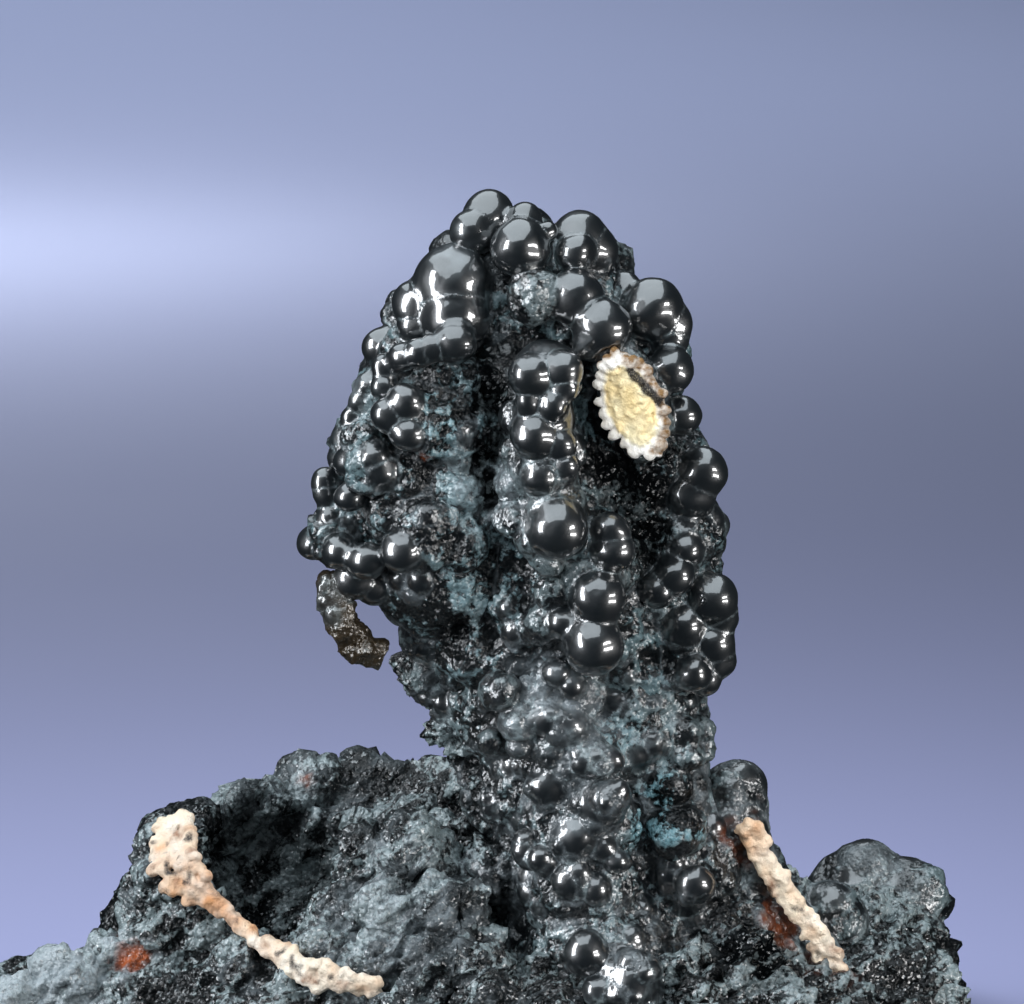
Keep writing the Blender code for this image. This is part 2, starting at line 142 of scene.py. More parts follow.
BASE_MASS: list[Row] = [
    (-41.0, -9.0, 6.0, 9.5), (-51.0, -11.0, 6.0, 8.6), (-30.0, -7.0, 2.0, 11.5), (-16.0, -10.0, -8.0, 11.5),
    (2.0, -11.0, -11.0, 12.0), (-8.0, 1.0, 0.0, 10.5), (18.0, -12.6, -12.0, 12.0), (32.0, -8.0, -8.0, 12.0),
    (42.0, -5.0, 6.0, 10.5), (-27.0, 2.0, 20.0, 11.0), (-10.0, 5.0, 22.0, 13.0), (10.0, 4.0, 20.0, 13.0),
    (26.0, 2.0, 18.0, 12.0), (41.0, 0.0, 22.0, 10.5), (0.0, 10.0, 8.0, 8.0), (-12.0, 10.0, 20.0, 8.0),
    (-42.0, -6.0, 20.0, 9.5), (26.0, 6.0, 4.0, 9.0), (-20.0, 7.4, 27.0, 8.6), (10.0, -10.0, -9.0, 10.4),
    (-23.0, -1.0, -2.0, 6.4), (-34.0, -14.0, -8.0, 9.0), (10.0, -2.0, -6.0, 9.0), (-33.0, -9.0, 12.0, 10.0),
    (-20.0, -9.0, 8.0, 10.0), (-8.0, -8.0, 8.0, 11.0), (5.0, -8.0, 8.0, 12.0), (18.0, -8.0, 6.0, 12.0),
    (30.0, -8.0, 8.0, 12.0), (-14.0, -8.0, 16.0, 10.0), (16.0, -2.0, 8.0, 12.0),
]
CROWN: list[Row] = [
    (2.9, 78.5, -1.0, 2.6), (1.4, 76.9, -3.0, 2.1), (6.5, 77.9, -3.0, 1.9), (5.9, 75.4, -6.0, 2.9),
    (8.8, 77.0, -5.2, 1.0), (11.8, 76.4, -2.5, 2.7), (13.2, 75.2, -2.5, 2.4), (11.6, 74.8, -5.2, 1.8),
]
HEAD_DULL: list[Row] = [
    (7.5, 70.4, -7.0, 2.8), (9.0, 73.0, 2.5, 3.6),
]
LEFT_SHOULDER: list[Row] = [
    (-0.8, 71.7, -4.0, 3.9), (-4.2, 69.8, -4.0, 2.4), (-4.0, 67.6, -4.5, 2.1), (-0.5, 68.6, -5.5, 3.4),
    (-0.3, 65.8, -9.0, 2.1), (-7.6, 65.6, -2.0, 2.0),
]
LEFT_SIDE: list[Row] = [
    (-5.6, 64.4, -8.6, 1.5), (-4.0, 64.8, -9.2, 1.4), (-2.6, 65.2, -9.4, 1.3), (-7.4, 63.6, -7.6, 1.4),
    (-7.4, 61.6, -8.2, 1.3), (-9.2, 61.8, -4.4, 1.1), (-9.9, 60.2, -4.4, 1.1), (-10.9, 58.6, -4.2, 1.0),
    (-11.7, 56.6, -4.0, 1.1), (-12.0, 54.6, -4.2, 1.1), (-5.2, 60.0, -10.6, 1.9), (-6.9, 58.7, -10.6, 1.7),
    (-5.1, 56.9, -11.2, 1.7), (-11.0, 54.2, -7.2, 1.5), (-13.5, 52.3, -4.6, 1.3), (-13.3, 50.9, -5.0, 1.2),
    (-10.9, 50.7, -8.2, 1.5), (-13.0, 48.8, -5.4, 1.0), (-14.7, 46.1, -4.6, 1.5), (-11.8, 45.3, -8.0, 1.7),
    (-9.3, 44.4, -9.2, 2.0), (-5.7, 45.4, -11.0, 2.1), (-10.4, 42.6, -6.6, 1.9), (-8.4, 41.6, -6.0, 1.7),
]
LEFT_LOBES: list[Row] = [
    (-2.6, 58.4, -7.4, 4.4), (0.2, 56.4, -6.6, 3.8), (-1.4, 61.6, -6.4, 3.4), (-9.2, 56.5, -7.4, 2.0),
    (-8.4, 53.8, -7.8, 2.7), (-4.6, 53.2, -6.8, 3.2), (-0.6, 51.8, -7.0, 3.2), (-3.2, 47.4, -8.8, 3.6),
    (-0.4, 46.6, -8.2, 3.0), (-6.8, 49.4, -7.0, 2.8),
]
HOOK_TOP: list[Row] = [
    (-13.2, 41.8, -6.6, 0.9), (-12.8, 40.4, -6.9, 1.1), (-12.4, 39.0, -7.3, 1.0),
]
HOOK: list[Row] = [
    (-13.0, 42.0, -6.2, 1.2), (-12.6, 40.6, -6.4, 1.4), (-11.8, 39.0, -6.6, 1.6), (-11.0, 37.6, -6.6, 1.6),
    (-10.2, 36.2, -6.4, 1.6), (-9.2, 35.2, -6.2, 1.4), (-9.7, 37.2, -6.4, 1.2), (-8.9, 36.0, -6.2, 1.1),
]
CENTRE_CHAIN: list[Row] = [
    (8.6, 62.8, -10.0, 3.4), (7.0, 62.6, -12.6, 2.1), (10.2, 63.2, -12.4, 1.9), (10.4, 61.2, -13.0, 1.3),
    (8.4, 58.4, -10.6, 3.2), (6.7, 59.9, -13.2, 1.2), (9.3, 59.6, -13.4, 1.4), (7.3, 56.7, -12.8, 2.3),
    (10.0, 55.9, -12.8, 1.5), (10.5, 53.8, -13.0, 1.2), (7.8, 52.6, -13.0, 1.7), (9.6, 47.7, -13.0, 3.0),
    (15.0, 47.4, -11.4, 1.9), (15.2, 45.4, -11.6, 2.1), (13.8, 40.7, -12.0, 2.8), (13.2, 36.2, -12.4, 3.0),
    (10.2, 38.2, -11.8, 1.5),
]
CENTRE_DULL: list[Row] = [
    (8.4, 53.6, -10.8, 3.2), (5.7, 58.4, -10.0, 1.6), (5.5, 55.0, -10.0, 1.6), (4.9, 51.9, -10.2, 1.6),
    (4.6, 48.8, -10.6, 1.6), (5.4, 48.4, -11.4, 1.5), (9.2, 49.6, -10.8, 3.2), (7.2, 46.4, -12.4, 1.5),
    (8.6, 44.6, -12.0, 1.5), (9.0, 41.4, -10.8, 1.7), (8.2, 38.0, -10.0, 2.2), (12.8, 42.8, -8.6, 3.8),
]
RIGHT_SIDE: list[Row] = [
    (11.5, 70.2, -7.0, 2.9), (14.0, 67.4, -8.4, 2.9), (13.0, 65.8, -8.6, 1.7), (16.5, 71.4, -1.5, 1.7),
    (19.0, 69.2, -4.2, 3.1), (21.2, 67.9, -4.0, 2.0), (20.8, 66.2, -4.4, 1.8), (21.0, 63.2, -6.6, 2.3),
    (22.2, 58.8, -5.4, 2.0), (24.2, 53.2, -4.4, 2.5), (23.0, 50.9, -4.4, 2.4), (22.5, 45.7, -5.6, 1.7),
    (22.3, 47.7, -4.8, 1.4), (21.2, 42.9, -6.6, 2.0), (19.5, 41.4, -7.0, 1.7), (25.2, 40.6, -4.6, 2.6),
    (26.2, 38.6, -4.4, 1.7), (25.5, 36.1, -4.6, 2.0), (25.8, 34.4, -4.2, 1.8), (23.2, 33.2, -6.6, 1.7),
    (24.4, 32.5, -4.8, 1.6), (22.3, 37.9, -5.0, 2.2),
]
BROKEN_STUB: list[Row] = [
    (15.8, 63.4, -7.6, 2.6), (17.0, 61.0, -7.4, 3.4), (17.8, 58.8, -7.2, 3.2), (18.4, 56.8, -7.0, 2.6),
]
STALK_BALLS: list[Row] = [
    (9.6, 33.2, -9.6, 1.3), (11.2, 31.8, -9.8, 1.3), (8.5, 28.6, -9.2, 1.6), (11.0, 27.9, -9.4, 1.8),
    (8.8, 21.9, -8.4, 2.1), (12.2, 24.6, -9.4, 1.2), (13.6, 24.6, -9.6, 1.4), (15.1, 24.6, -9.4, 1.3),
    (14.0, 20.1, -9.6, 2.6), (14.9, 20.9, -11.6, 1.4), (11.5, 16.9, -9.8, 2.3), (14.4, 15.8, -10.2, 1.2),
    (15.6, 14.4, -10.4, 1.1), (11.0, 12.4, -10.4, 1.8), (13.6, 11.6, -10.8, 1.5), (8.6, 14.4, -9.4, 1.4),
    (6.5, 15.4, -8.6, 1.4), (23.5, 11.9, -8.0, 2.0), (12.5, 5.4, -12.8, 2.3), (17.2, 2.4, -13.4, 2.9),
    (14.4, 1.4, -13.8, 1.6),
]
STALK_DULL: list[Row] = [
    (4.0, 31.4, -8.4, 1.9), (5.8, 28.4, -8.4, 1.9), (6.0, 25.8, -8.2, 1.3), (3.0, 26.4, -7.2, 1.2),
    (9.0, 25.4, -8.6, 1.7), (24.0, 27.4, -3.6, 1.4), (24.4, 25.2, -3.8, 1.3), (22.6, 27.2, -5.2, 1.6),
    (22.8, 24.8, -5.4, 1.5), (20.8, 21.8, -5.2, 2.4), (21.6, 17.4, -5.8, 2.8),
]
STALK_EDGE: list[Row] = [
    (-3.4, 33.4, 0.0, 2.0), (-1.8, 31.0, 0.5, 2.4), (-1.2, 27.8, 1.5, 2.2), (0.6, 25.4, 1.5, 2.2),
    (1.8, 23.2, 1.0, 2.0), (3.6, 20.4, -1.5, 3.0), (3.6, 13.0, -3.0, 3.4),
]
RIGHT_FLANK: list[Row] = [
    (26.5, 20.4, 1.5, 2.4), (28.0, 20.8, 2.0, 2.2), (29.0, 19.0, 2.0, 1.5), (27.2, 16.6, 1.0, 3.3),
    (29.4, 12.4, 1.5, 3.2), (31.8, 8.0, 1.5, 3.2), (34.6, 3.6, 1.5, 3.2), (37.0, 0.2, 1.5, 3.2),
    (38.0, 7.8, 7.0, 2.7),
]
RIGHT_REAR: list[Row] = [
    (41.8, 11.8, 24.0, 2.3), (40.0, 9.6, 24.0, 3.4), (44.6, 8.8, 24.0, 3.6), (47.6, 9.6, 23.0, 2.6),
    (49.2, 8.4, 23.0, 1.7), (44.0, 4.4, 22.0, 5.0), (47.2, 2.4, 21.0, 3.2),
]
BASIN_RIM: list[Row] = [
    (-29.4, 16.4, 7.0, 1.9), (-27.4, 16.4, 9.6, 2.3), (-28.8, 14.0, 5.0, 2.8), (-29.0, 10.6, 3.0, 3.6),
    (-26.8, 15.2, 16.0, 3.2), (-23.0, 16.4, 20.0, 3.4), (-19.4, 18.0, 25.0, 3.6), (-16.0, 19.8, 28.0, 3.4),
    (-11.6, 19.4, 28.0, 3.2), (-7.2, 18.6, 27.0, 3.2), (-3.0, 19.0, 26.0, 3.4), (1.0, 18.6, 24.0, 3.6),
    (-30.4, 6.6, 2.0, 4.0), (-26.0, 7.4, 0.5, 3.2), (-21.6, 3.8, -4.0, 3.2), (-17.0, 1.4, -7.0, 3.2),
    (-11.6, -0.2, -8.0, 3.2), (-6.0, 9.0, 4.0, 5.6), (-9.0, 10.4, 18.0, 6.0),
]
SLOPE_LUMPS: list[Row] = [
    (-9.4, 14.0, -2.6, 2.8), (-4.4, 15.2, -4.0, 3.0), (-6.6, 9.4, -7.4, 3.0), (-1.4, 9.6, -8.4, 3.2),
    (-11.6, 9.0, -4.4, 2.8), (-13.4, 4.6, -7.0, 2.8), (-8.2, 4.0, -9.8, 3.0), (-3.0, 3.6, -11.0, 3.2),
    (1.6, 4.6, -11.4, 3.0), (3.4, -0.6, -14.4, 3.4), (-5.4, -1.6, -14.0, 3.4), (9.0, -2.4, -15.4, 3.2),
    (23.0, 2.0, -12.0, 3.4), (28.0, 3.0, -9.0, 3.6), (32.0, -1.0, -11.0, 3.6), (25.4, -3.6, -15.0, 3.6),
]
LEFT_FOOT: list[Row] = [
    (-35.6, 2.4, 2.0, 3.6), (-40.0, 1.0, 0.0, 3.4), (-44.6, -1.4, -1.0, 3.4), (-50.0, -2.6, 0.0, 3.4),
    (-56.0, -3.6, 5.0, 3.6),
]


@dataclass(frozen=True)
class Wound:
    """Lumps wound round an upright egg by the golden angle, for the sides the front doesn't show.

    Attributes:
        axis: Where the egg stands, x and y in mm.
        seen: Lowest and highest lump, in mm.
        half: The egg's half width and half depth in mm.
        count: How many lumps before those in front are left out.
        radius: Smallest and largest lump in mm.
        seed: Start of the random sizes.
        reach: How far round from straight behind, in radians.
    """

    axis: tuple[float, float]
    seen: tuple[float, float]
    half: tuple[float, float]
    count: int
    radius: tuple[float, float]
    seed: int
    reach: float = math.pi

    def rows(self) -> list[Row]:
        """The lumps of the egg.

        Returns:
            Rows of x, seen, y and radius in mm.
        """
        dice = random.Random(self.seed)
        low, high = self.seen
        rows = []
        for step in range(self.count):
            share = (step + 0.5) / self.count
            bearing = (step * GOLDEN_ANGLE) % math.tau
            radius = dice.uniform(*self.radius)
            behind = abs((bearing - math.pi / 2 + math.pi) % math.tau - math.pi)
            if behind > self.reach:
                continue
            swell = math.sqrt(1.0 - abs(2.0 * share - 1.0) ** 2.6)
            x = self.axis[0] + self.half[0] * swell * math.cos(bearing)
            y = self.axis[1] + self.half[1] * swell * math.sin(bearing)
            seen = low + (high - low) * share + y * math.sin(VIEW_TILT)
            rows.append((x, seen, y, radius))
        return rows


REAR_REACH = math.radians(104.0)
REAR_HEAD = Wound((6.0, 1.0), (33.0, 76.0), (13.6, 10.4), 46, (2.4, 3.8), 3, REAR_REACH)
REAR_STALK = Wound((11.5, 1.0), (10.0, 38.0), (9.6, 7.6), 30, (2.0, 3.0), 5, REAR_REACH)
RING_BASE = Wound((-3.0, 6.0), (-14.0, -2.0), (50.0, 26.5), 46, (4.0, 6.0), 7)
REAR_BASE = Wound((1.0, 10.0), (-4.0, 12.0), (33.0, 22.0), 50, (2.8, 4.6), 9, REAR_REACH)


@dataclass(frozen=True)
class Stain:
    """A patch of colour in the skin.

    Attributes:
        x: Where it is from left to right, mm.
        seen: How high it is in the front view, mm.
        y: How deep it is, mm.
        radius: How wide it is, mm.
        strength: How strong it is, 0 to 1.
        bare: Whether no lumps sprout on its front.
    """

    x: float
    seen: float
    y: float
    radius: float
    strength: float = 1.0
    bare: bool = False


TEAL_STAINS = [
    Stain(-3.0, 58.0, -9.0, 6.0, 0.7),
    Stain(20.0, 19.4, -6.0, 6.5, 1.0),
    Stain(16.0, 27.0, -8.0, 3.5, 0.6),
    Stain(2.0, 42.0, -8.0, 7.0, 0.5),
    Stain(0.0, 53.0, -8.0, 5.0, 0.4),
]
DUST_STAINS = [
    Stain(4.0, 52.0, -9.0, 5.0, 0.8),
    Stain(10.0, 30.0, -8.0, 7.0, 0.7),
    Stain(12.0, 21.0, -8.0, 6.0, 0.5),
    Stain(0.0, 74.0, -4.0, 4.0, 0.5),
    Stain(-10.0, 62.0, -6.0, 4.0, 0.5),
    Stain(-6.0, 8.0, -8.0, 10.0, 0.45),
    Stain(-20.0, 18.0, 20.0, 12.0, 0.3),
    Stain(-42.0, 3.0, -4.0, 10.0, 1.0),
]
RUST_STAINS = [
    Stain(-33.0, 4.0, 0.0, 2.5, 1.0),
    Stain(-3.4, 54.4, -11.0, 1.0, 0.45),
    Stain(-16.6, 21.6, 24.0, 1.2, 0.5),
    Stain(30.0, 16.6, -3.0, 3.4, 0.4),
    Stain(33.6, 8.6, -4.0, 4.0, 0.3),
    Stain(37.0, 2.4, -4.0, 4.0, 0.25),
]
# Black powdery crust, and painted shade in the cracks, the base hollow and the recesses.
SOOT_AND_SHADE_STAINS = [
    Stain(17.0, 52.0, -6.0, 6.4, 1.0, bare=True),
    Stain(18.0, 46.6, -6.0, 4.4, 0.9, bare=True),
    Stain(3.4, 62.0, -5.0, 3.4, 0.8),
    Stain(9.0, 68.4, -8.0, 3.6, 0.7),
    Stain(-19.0, 11.0, 12.0, 13.0, 1.0),
    Stain(30.0, 5.0, -9.0, 8.0, 0.6),
    Stain(0.0, 38.0, -6.0, 4.0, 0.6),
    Stain(3.0, 61.0, -7.0, 3.2, 1.0, bare=True),
    Stain(3.0, 56.0, -8.0, 3.2, 1.0, bare=True),
    Stain(2.8, 51.6, -8.0, 2.8, 1.0, bare=True),
    Stain(-4.0, 12.0, -6.0, 4.0, 0.7),
    Stain(-2.0, 22.0, -4.0, 4.0, 0.7),
]


@dataclass(frozen=True)
class Sprinkle:
    """Small lumps that sprouted on larger ones.

    Attributes:
        count: How many clusters are tried.
        radius: Smallest and largest in mm.
        seed: Start of the random places.
        family: How many lumps one cluster has at most.
        sunk: Share of a lump's radius that is sunk in.
        floor: Height above the ground below which none grow, in mm.
    """

    count: int
    radius: tuple[float, float]
    seed: int
    family: int = 4
    sunk: float = 0.5
    floor: float = 3.0

    def rows(self, hosts: Sequence[Row]) -> list[Row]:
        """Sprouts on the open sides of some lumps.

        Args:
            hosts: The larger lumps.

        Returns:
            Rows of x, seen, y and radius in mm.
        """
        dice = random.Random(self.seed)
        middles = [stand(x, seen, y) for x, seen, y, _ in hosts]
        sizes = [row[3] for row in hosts]
        shares = [size * size for size in sizes]
        sprouts = []
        for _ in range(self.count):
            host = dice.choices(range(len(hosts)), shares)[0]
            first = Vector([dice.gauss(0.0, 1.0) for _ in range(3)]).normalized()
            largest = self.radius[0] + (self.radius[1] - self.radius[0]) * dice.random() ** 2
            for number in range(dice.randint(1, self.family)):
                radius = largest * (1.0 if number == 0 else dice.uniform(0.5, 0.95))
                stray = Vector([dice.gauss(0.0, 1.0) for _ in range(3)]) * (1.3 * largest / sizes[host])
                way = (first + (stray if number else Vector())).normalized()
                spot = middles[host] + way * (sizes[host] - self.sunk * radius)
                buried = any((spot - m).length < size - 0.8 * radius for m, size in zip(middles, sizes))
                seen = (spot.z - FOOT_DROP) * math.cos(VIEW_TILT) + spot.y * math.sin(VIEW_TILT)
                bare = spot.y < 0.0 and any(
                    stain.bare and math.hypot(spot.x - stain.x, seen - stain.seen) < 0.8 * stain.radius
                    for stain in SOOT_AND_SHADE_STAINS
                )
                if buried or bare or spot.z < self.floor:
                    continue
                sprouts.append((spot.x, seen, spot.y, radius))
        return sprouts


def stand(x: float, seen: float, y: float) -> Vector:
    """The true place of a point read at that height in the tilted front view.

    Args:
        x: To the right, mm.
        seen: Height in the front view, mm.
        y: Away from the viewer, mm.

    Returns:
        The place in mm.
    """
    return Vector((x, y, FOOT_DROP + (seen - y * math.sin(VIEW_TILT)) / math.cos(VIEW_TILT)))


def linear(colour: str) -> tuple[float, float, float, float]:
    """An sRGB hex colour as Blender's linear RGBA.

    Args:
        colour: Such as "#1a2b3c".

    Returns:
        Linear red, green, blue and an alpha of 1.
    """
    parts = [int(colour[i : i + 2], 16) / 255.0 for i in (1, 3, 5)]
    light = [c / 12.92 if c <= 0.04045 else ((c + 0.055) / 1.055) ** 2.4 for c in parts]
    return (light[0], light[1], light[2], 1.0)


def per_metre(size_mm: float) -> float:
    """The texture scale that repeats a pattern every size_mm.

    Args:
        size_mm: Size of one feature in mm.

    Returns:
        Features per metre.
    """
    return 1.0 / (size_mm * MM)


def add_node(
    tree: Tree,
    kind: str,
    settings: Optional[dict[Any, Any]] = None,
    links: Optional[dict[Any, Socket]] = None,
    out: Union[int, str] = 0,
) -> Socket:
    """Adds a node with its settings and links.

    Args:
        tree: The material's node tree.
        kind: The node's type name.
        settings: Values by input (name or number) or by property name.
        links: Sockets to join, by input name or number.
        out: The output wanted, by name or number.

    Returns:
        That output of the new node.
    """
    node = tree.nodes.new(kind)
    inputs = {}
    for key, value in (settings or {}).items():
        if isinstance(key, str) and hasattr(node, key):
            setattr(node, key, value)
        else:
            inputs[key] = value
    for key, value in inputs.items():
        node.inputs[key].default_value = value
    for key, socket in (links or {}).items():
        tree.links.new(socket, node.inputs[key])
    return node.outputs[out]


def lay_over(tree: Tree, mask: Socket, noise: Socket, depth: float, below: Socket, colour: str) -> Socket:
    """Lays a tint over a colour where a mask says, with an edge broken up by noise.

    Args:
        tree: The node tree.
        mask: Where the tint lies.
        noise: What breaks its edge up.
        depth: How much the noise counts.
        below: The colour underneath.
        colour: The tint.

    Returns:
        The new colour.
    """
    ragged = add_node(tree, MATH, {"operation": "MULTIPLY_ADD", 1: depth, 2: -0.5 * depth}, {0: noise})
    felt = add_node(tree, MATH, {"operation": "MULTIPLY", "use_clamp": True, 1: 2.0}, {0: mask})
    edge = add_node(tree, MATH, {"operation": "MULTIPLY"}, {0: ragged, 1: felt})
    share = add_node(tree, MATH, {"operation": "ADD", "use_clamp": True}, {0: mask, 1: edge})
    return add_node(tree, MIX, {"data_type": "RGBA", 7: linear(colour)}, {0: share, 6: below}, out=2)


def new_material(name: str) -> tuple[bpy.types.Material, Tree, bpy.types.Node]:
    """A new material with a Principled shader to fill in.

    Args:
        name: The material's name.

    Returns:
        The material, its node tree and its shader node.
    """
    material = bpy.data.materials.new(name)
    material.use_nodes = True
    return material, material.node_tree, material.node_tree.nodes["Principled BSDF"]


def plug_in(tree: Tree, shader: bpy.types.Node, sockets: dict[str, Socket]) -> None:
    """Joins sockets to a shader's inputs.

    Args:
        tree: The node tree.
        shader: The shader node.
        sockets: What goes into each input, by the input's name.
    """
    for name, socket in sockets.items():
        tree.links.new(socket, shader.inputs[name])


def lattice(cells: Array, seed: int) -> Array:
    """A repeatable random number for each whole-numbered cell.

    Args:
        cells: Whole numbers, last axis x, y, z.
        seed: Picks one of many such lattices.

    Returns:
        Numbers from 0 to 1.
    """
    x, y, z = (cells[..., i].astype(np.int64) for i in range(3))
    # Large primes scatter neighbouring cells over the whole range of 32 bits.
    mixed = (x * 73856093) ^ (y * 19349663) ^ (z * 83492791) ^ (seed * 40503211)
    mixed = (mixed & 0xFFFFFFFF) * 1274126177 & 0xFFFFFFFF
    mixed = (mixed ^ (mixed >> 15)) * 2246822519 & 0xFFFFFFFF
    return (mixed >> 8 & 0xFFFF) / 65535.0


def waves(points: Array, size: float, seed: int) -> Array:
    """Smooth noise.

    Args:
        points: Places in mm.
        size: Width of one wave in mm.
        seed: Picks the noise.

    Returns:
        Values from -1 to 1.
    """
    scaled = points / size
    low = np.floor(scaled)
    part = scaled - low
    part = part * part * (3.0 - 2.0 * part)
    total = np.zeros(len(points))
    for corner in range(8):
        step = np.array([corner & 1, corner >> 1 & 1, corner >> 2 & 1])
        weight = np.prod(np.where(step, part, 1.0 - part), axis=1)
        total += weight * lattice(low + step, seed)
    return total * 2.0 - 1.0


# Each finer octave of rubble is this share of the one before.
OCTAVE_DROP = 0.55
# Square of a dome's radius, in spacings.
DOME_REACH = 0.7


def rubble(points: Array, size: float, seed: int, octaves: int = 3) -> Array:
    """Sharp-edged noise in several sizes, as on a crumbly crust.

    Args:
        points: Places in mm.
        size: Width of the largest crumbs in mm.
        seed: Picks the noise.
        octaves: How many halvings of the size.

    Returns:
        Values from about -1 to 1.
    """
    total = np.zeros(len(points))
    height = 1.0
    for octave in range(octaves):
        total += height * (1.0 - 2.0 * np.abs(waves(points, size / 2**octave, seed + octave)))
        height *= OCTAVE_DROP
    return total / 2.0


def grains(points: Array, size: float, seed: int) -> Array:
    """Small domes packed side by side.

    Args:
        points: Places in mm.
        size: Spacing of the domes in mm.
        seed: Picks their places.

    Returns:
        The height of the dome at each point, 0 to 1.
    """
    scaled = points / size
    low = np.floor(scaled)
    nearest = np.full(len(points), np.inf)
    for number in range(27):
        step = np.array([number % 3 - 1, number // 3 % 3 - 1, number // 9 - 1])
        cell = low + step
        middle = cell + np.stack([lattice(cell, seed + 11 * axis) for axis in range(3)], axis=1)
        nearest = np.minimum(nearest, np.sum((scaled - middle) ** 2, axis=1))
    return np.sqrt(np.clip(1.0 - nearest / DOME_REACH, 0.0, 1.0))


def link(name: str, mesh: Mesh) -> Thing:
    """Puts a mesh into the scene as a new object.

    Args:
        name: The object's name.
        mesh: Its mesh.

    Returns:
        The object.
    """
    thing = bpy.data.objects.new(name, mesh)
    bpy.context.scene.collection.objects.link(thing)
    return thing


def from_shape(name: str, shape: Shape) -> Thing:
    """Puts a worked shape into the scene and frees it.

    Args:
        name: The object's name.
        shape: The shape.

    Returns:
        The object.
    """
    mesh = bpy.data.meshes.new(name)
    shape.to_mesh(mesh)
    shape.free()
    return link(name, mesh)


def ball_heap(name: str, middles: Array, radii: Array) -> Mesh:
    """A heap of balls, each a copy of one finely divided ball.

    Args:
        name: The mesh's name.
        middles: Their middles in mm.
        radii: Their radii in mm.

    Returns:
        The mesh.
    """
    ball = bmesh.new()
    bmesh.ops.create_icosphere(ball, subdivisions=3, radius=1.0)
    ball.verts.index_update()
    corners = np.array([vert.co[:] for vert in ball.verts])
    faces = np.array([[vert.index for vert in face.verts] for face in ball.faces])
    ball.free()
    points = corners[None] * radii[:, None, None] + middles[:, None]
    triangles = faces[None] + (np.arange(len(radii)) * len(corners))[:, None, None]
    mesh = bpy.data.meshes.new(name)
    mesh.vertices.add(points.size // 3)
    mesh.vertices.foreach_set("co", (points * MM).astype(np.float32).ravel())
    mesh.loops.add(triangles.size)
    mesh.loops.foreach_set("vertex_index", triangles.astype(np.int32).ravel())
    mesh.polygons.add(triangles.size // 3)
    mesh.polygons.foreach_set("loop_start", np.arange(0, triangles.size, 3, dtype=np.int32))
    mesh.update(calc_edges=True)
    return mesh


def bake_modifiers(thing: Thing) -> None:
    """Applies the object's modifiers to its mesh.

    Args:
        thing: The object.
    """
    bpy.context.view_layer.update()
    evaluated = thing.evaluated_get(bpy.context.evaluated_depsgraph_get())
    mesh = bpy.data.meshes.new_from_object(evaluated)
    old = thing.data
    name = old.name
    thing.modifiers.clear()
    thing.data = mesh
    bpy.data.meshes.remove(old)
    mesh.name = name


def grow_together(thing: Thing, voxel: float) -> None:
    """Turns overlapping closed shapes into one skin.

    Args:
        thing: The object.
        voxel: Width of the skin's squares in mm.
    """
    fuse = thing.modifiers.new("fuse", "REMESH")
    fuse.mode = "VOXEL"
    fuse.voxel_size = voxel * MM
    bake_modifiers(thing)


def slice_off(thing: Thing, spot: Vector, way: Vector) -> None:
    """Cuts a closed mesh along a plane and closes the cut.

    Args:
        thing: The object.
        spot: A point of the plane in mm.
        way: The side taken away.
    """
    shape = bmesh.new()
    shape.from_mesh(thing.data)
    geometry = [*shape.verts, *shape.edges, *shape.faces]
    bmesh.ops.bisect_plane(shape, geom=geometry, plane_co=spot * MM, plane_no=way, clear_outer=True)
    rim = [edge for edge in shape.edges if edge.is_boundary]
    bmesh.ops.holes_fill(shape, edges=rim, sides=0)
    bmesh.ops.triangulate(shape, faces=[f for f in shape.faces if len(f.verts) > 4])
    bmesh.ops.recalc_face_normals(shape, faces=shape.faces)
    shape.to_mesh(thing.data)
    shape.free()


def places(mesh: Mesh) -> Array:
    """The mesh's vertices in mm.

    Args:
        mesh: The mesh.

    Returns:
        An array of x, y, z.
    """
    flat = np.empty(len(mesh.vertices) * 3, dtype=np.float32)
    mesh.vertices.foreach_get("co", flat)
    return flat.reshape(-1, 3).astype(np.float64) / MM


def move_to(mesh: Mesh, points: Array) -> None:
    """Moves the mesh's vertices.

    Args:
        mesh: The mesh.
        points: New places in mm.
    """
    mesh.vertices.foreach_set("co", (points * MM).astype(np.float32).ravel())
    mesh.update()


def facings(mesh: Mesh) -> Array:
    """The vertex normals of a mesh.

    Args:
        mesh: The mesh.

    Returns:
        An array of unit vectors.
    """
    flat = np.empty(len(mesh.vertices) * 3, dtype=np.float32)
    mesh.vertex_normals.foreach_get("vector", flat)
    return flat.reshape(-1, 3).astype(np.float64)


def paint(mesh: Mesh, **masks: Array) -> None:
    """Stores masks from 0 to 1 for the materials to read.

    Args:
        mesh: The mesh.
        masks: One number per vertex for each attribute's name.
    """
    for name, values in masks.items():
        layer = mesh.attributes.new(name, "FLOAT", "POINT")
        layer.data.foreach_set("value", np.clip(values, 0.0, 1.0).astype(np.float32))


def smooth_shaded(mesh: Mesh) -> None:
    """Shades every face of a mesh smooth.

    Args:
        mesh: The mesh.
    """
    mesh.polygons.foreach_set("use_smooth", np.ones(len(mesh.polygons), dtype=bool))
    mesh.update()


def stain_at(points: Array, stains: Sequence[Stain], seed: int) -> Array:
    """How strongly a set of stains shows, with ragged edges.

    Args:
        points: Places in mm.
        stains: The patches.
        seed: Picks the ragged edge.

    Returns:
        Strength at each point, 0 to 1.
    """
    ragged = 1.0 + 0.45 * waves(points, 1.6, seed) + 0.25 * waves(points, 0.6, seed + 1)
    total = np.zeros(len(points))
    for stain in stains:
        away = np.linalg.norm(points - np.array(stand(stain.x, stain.seen, stain.y)), axis=1)
        total = np.maximum(total, stain.strength * np.clip((ragged - away / stain.radius) * 1.6, 0.0, 1.0))
    return total


LOOK_FIELDS = ("gloss", "teal", "crumble", "domes", "wobble", "bronze")
# Points are measured against the lumps in cells of this width, mm.
CELL = 3.0
# Two skins blend over about this width, mm.
SOFT_BLEND = 0.18
# Lumps further off than this many blends don't count.
BLENDS_FELT = 5.0
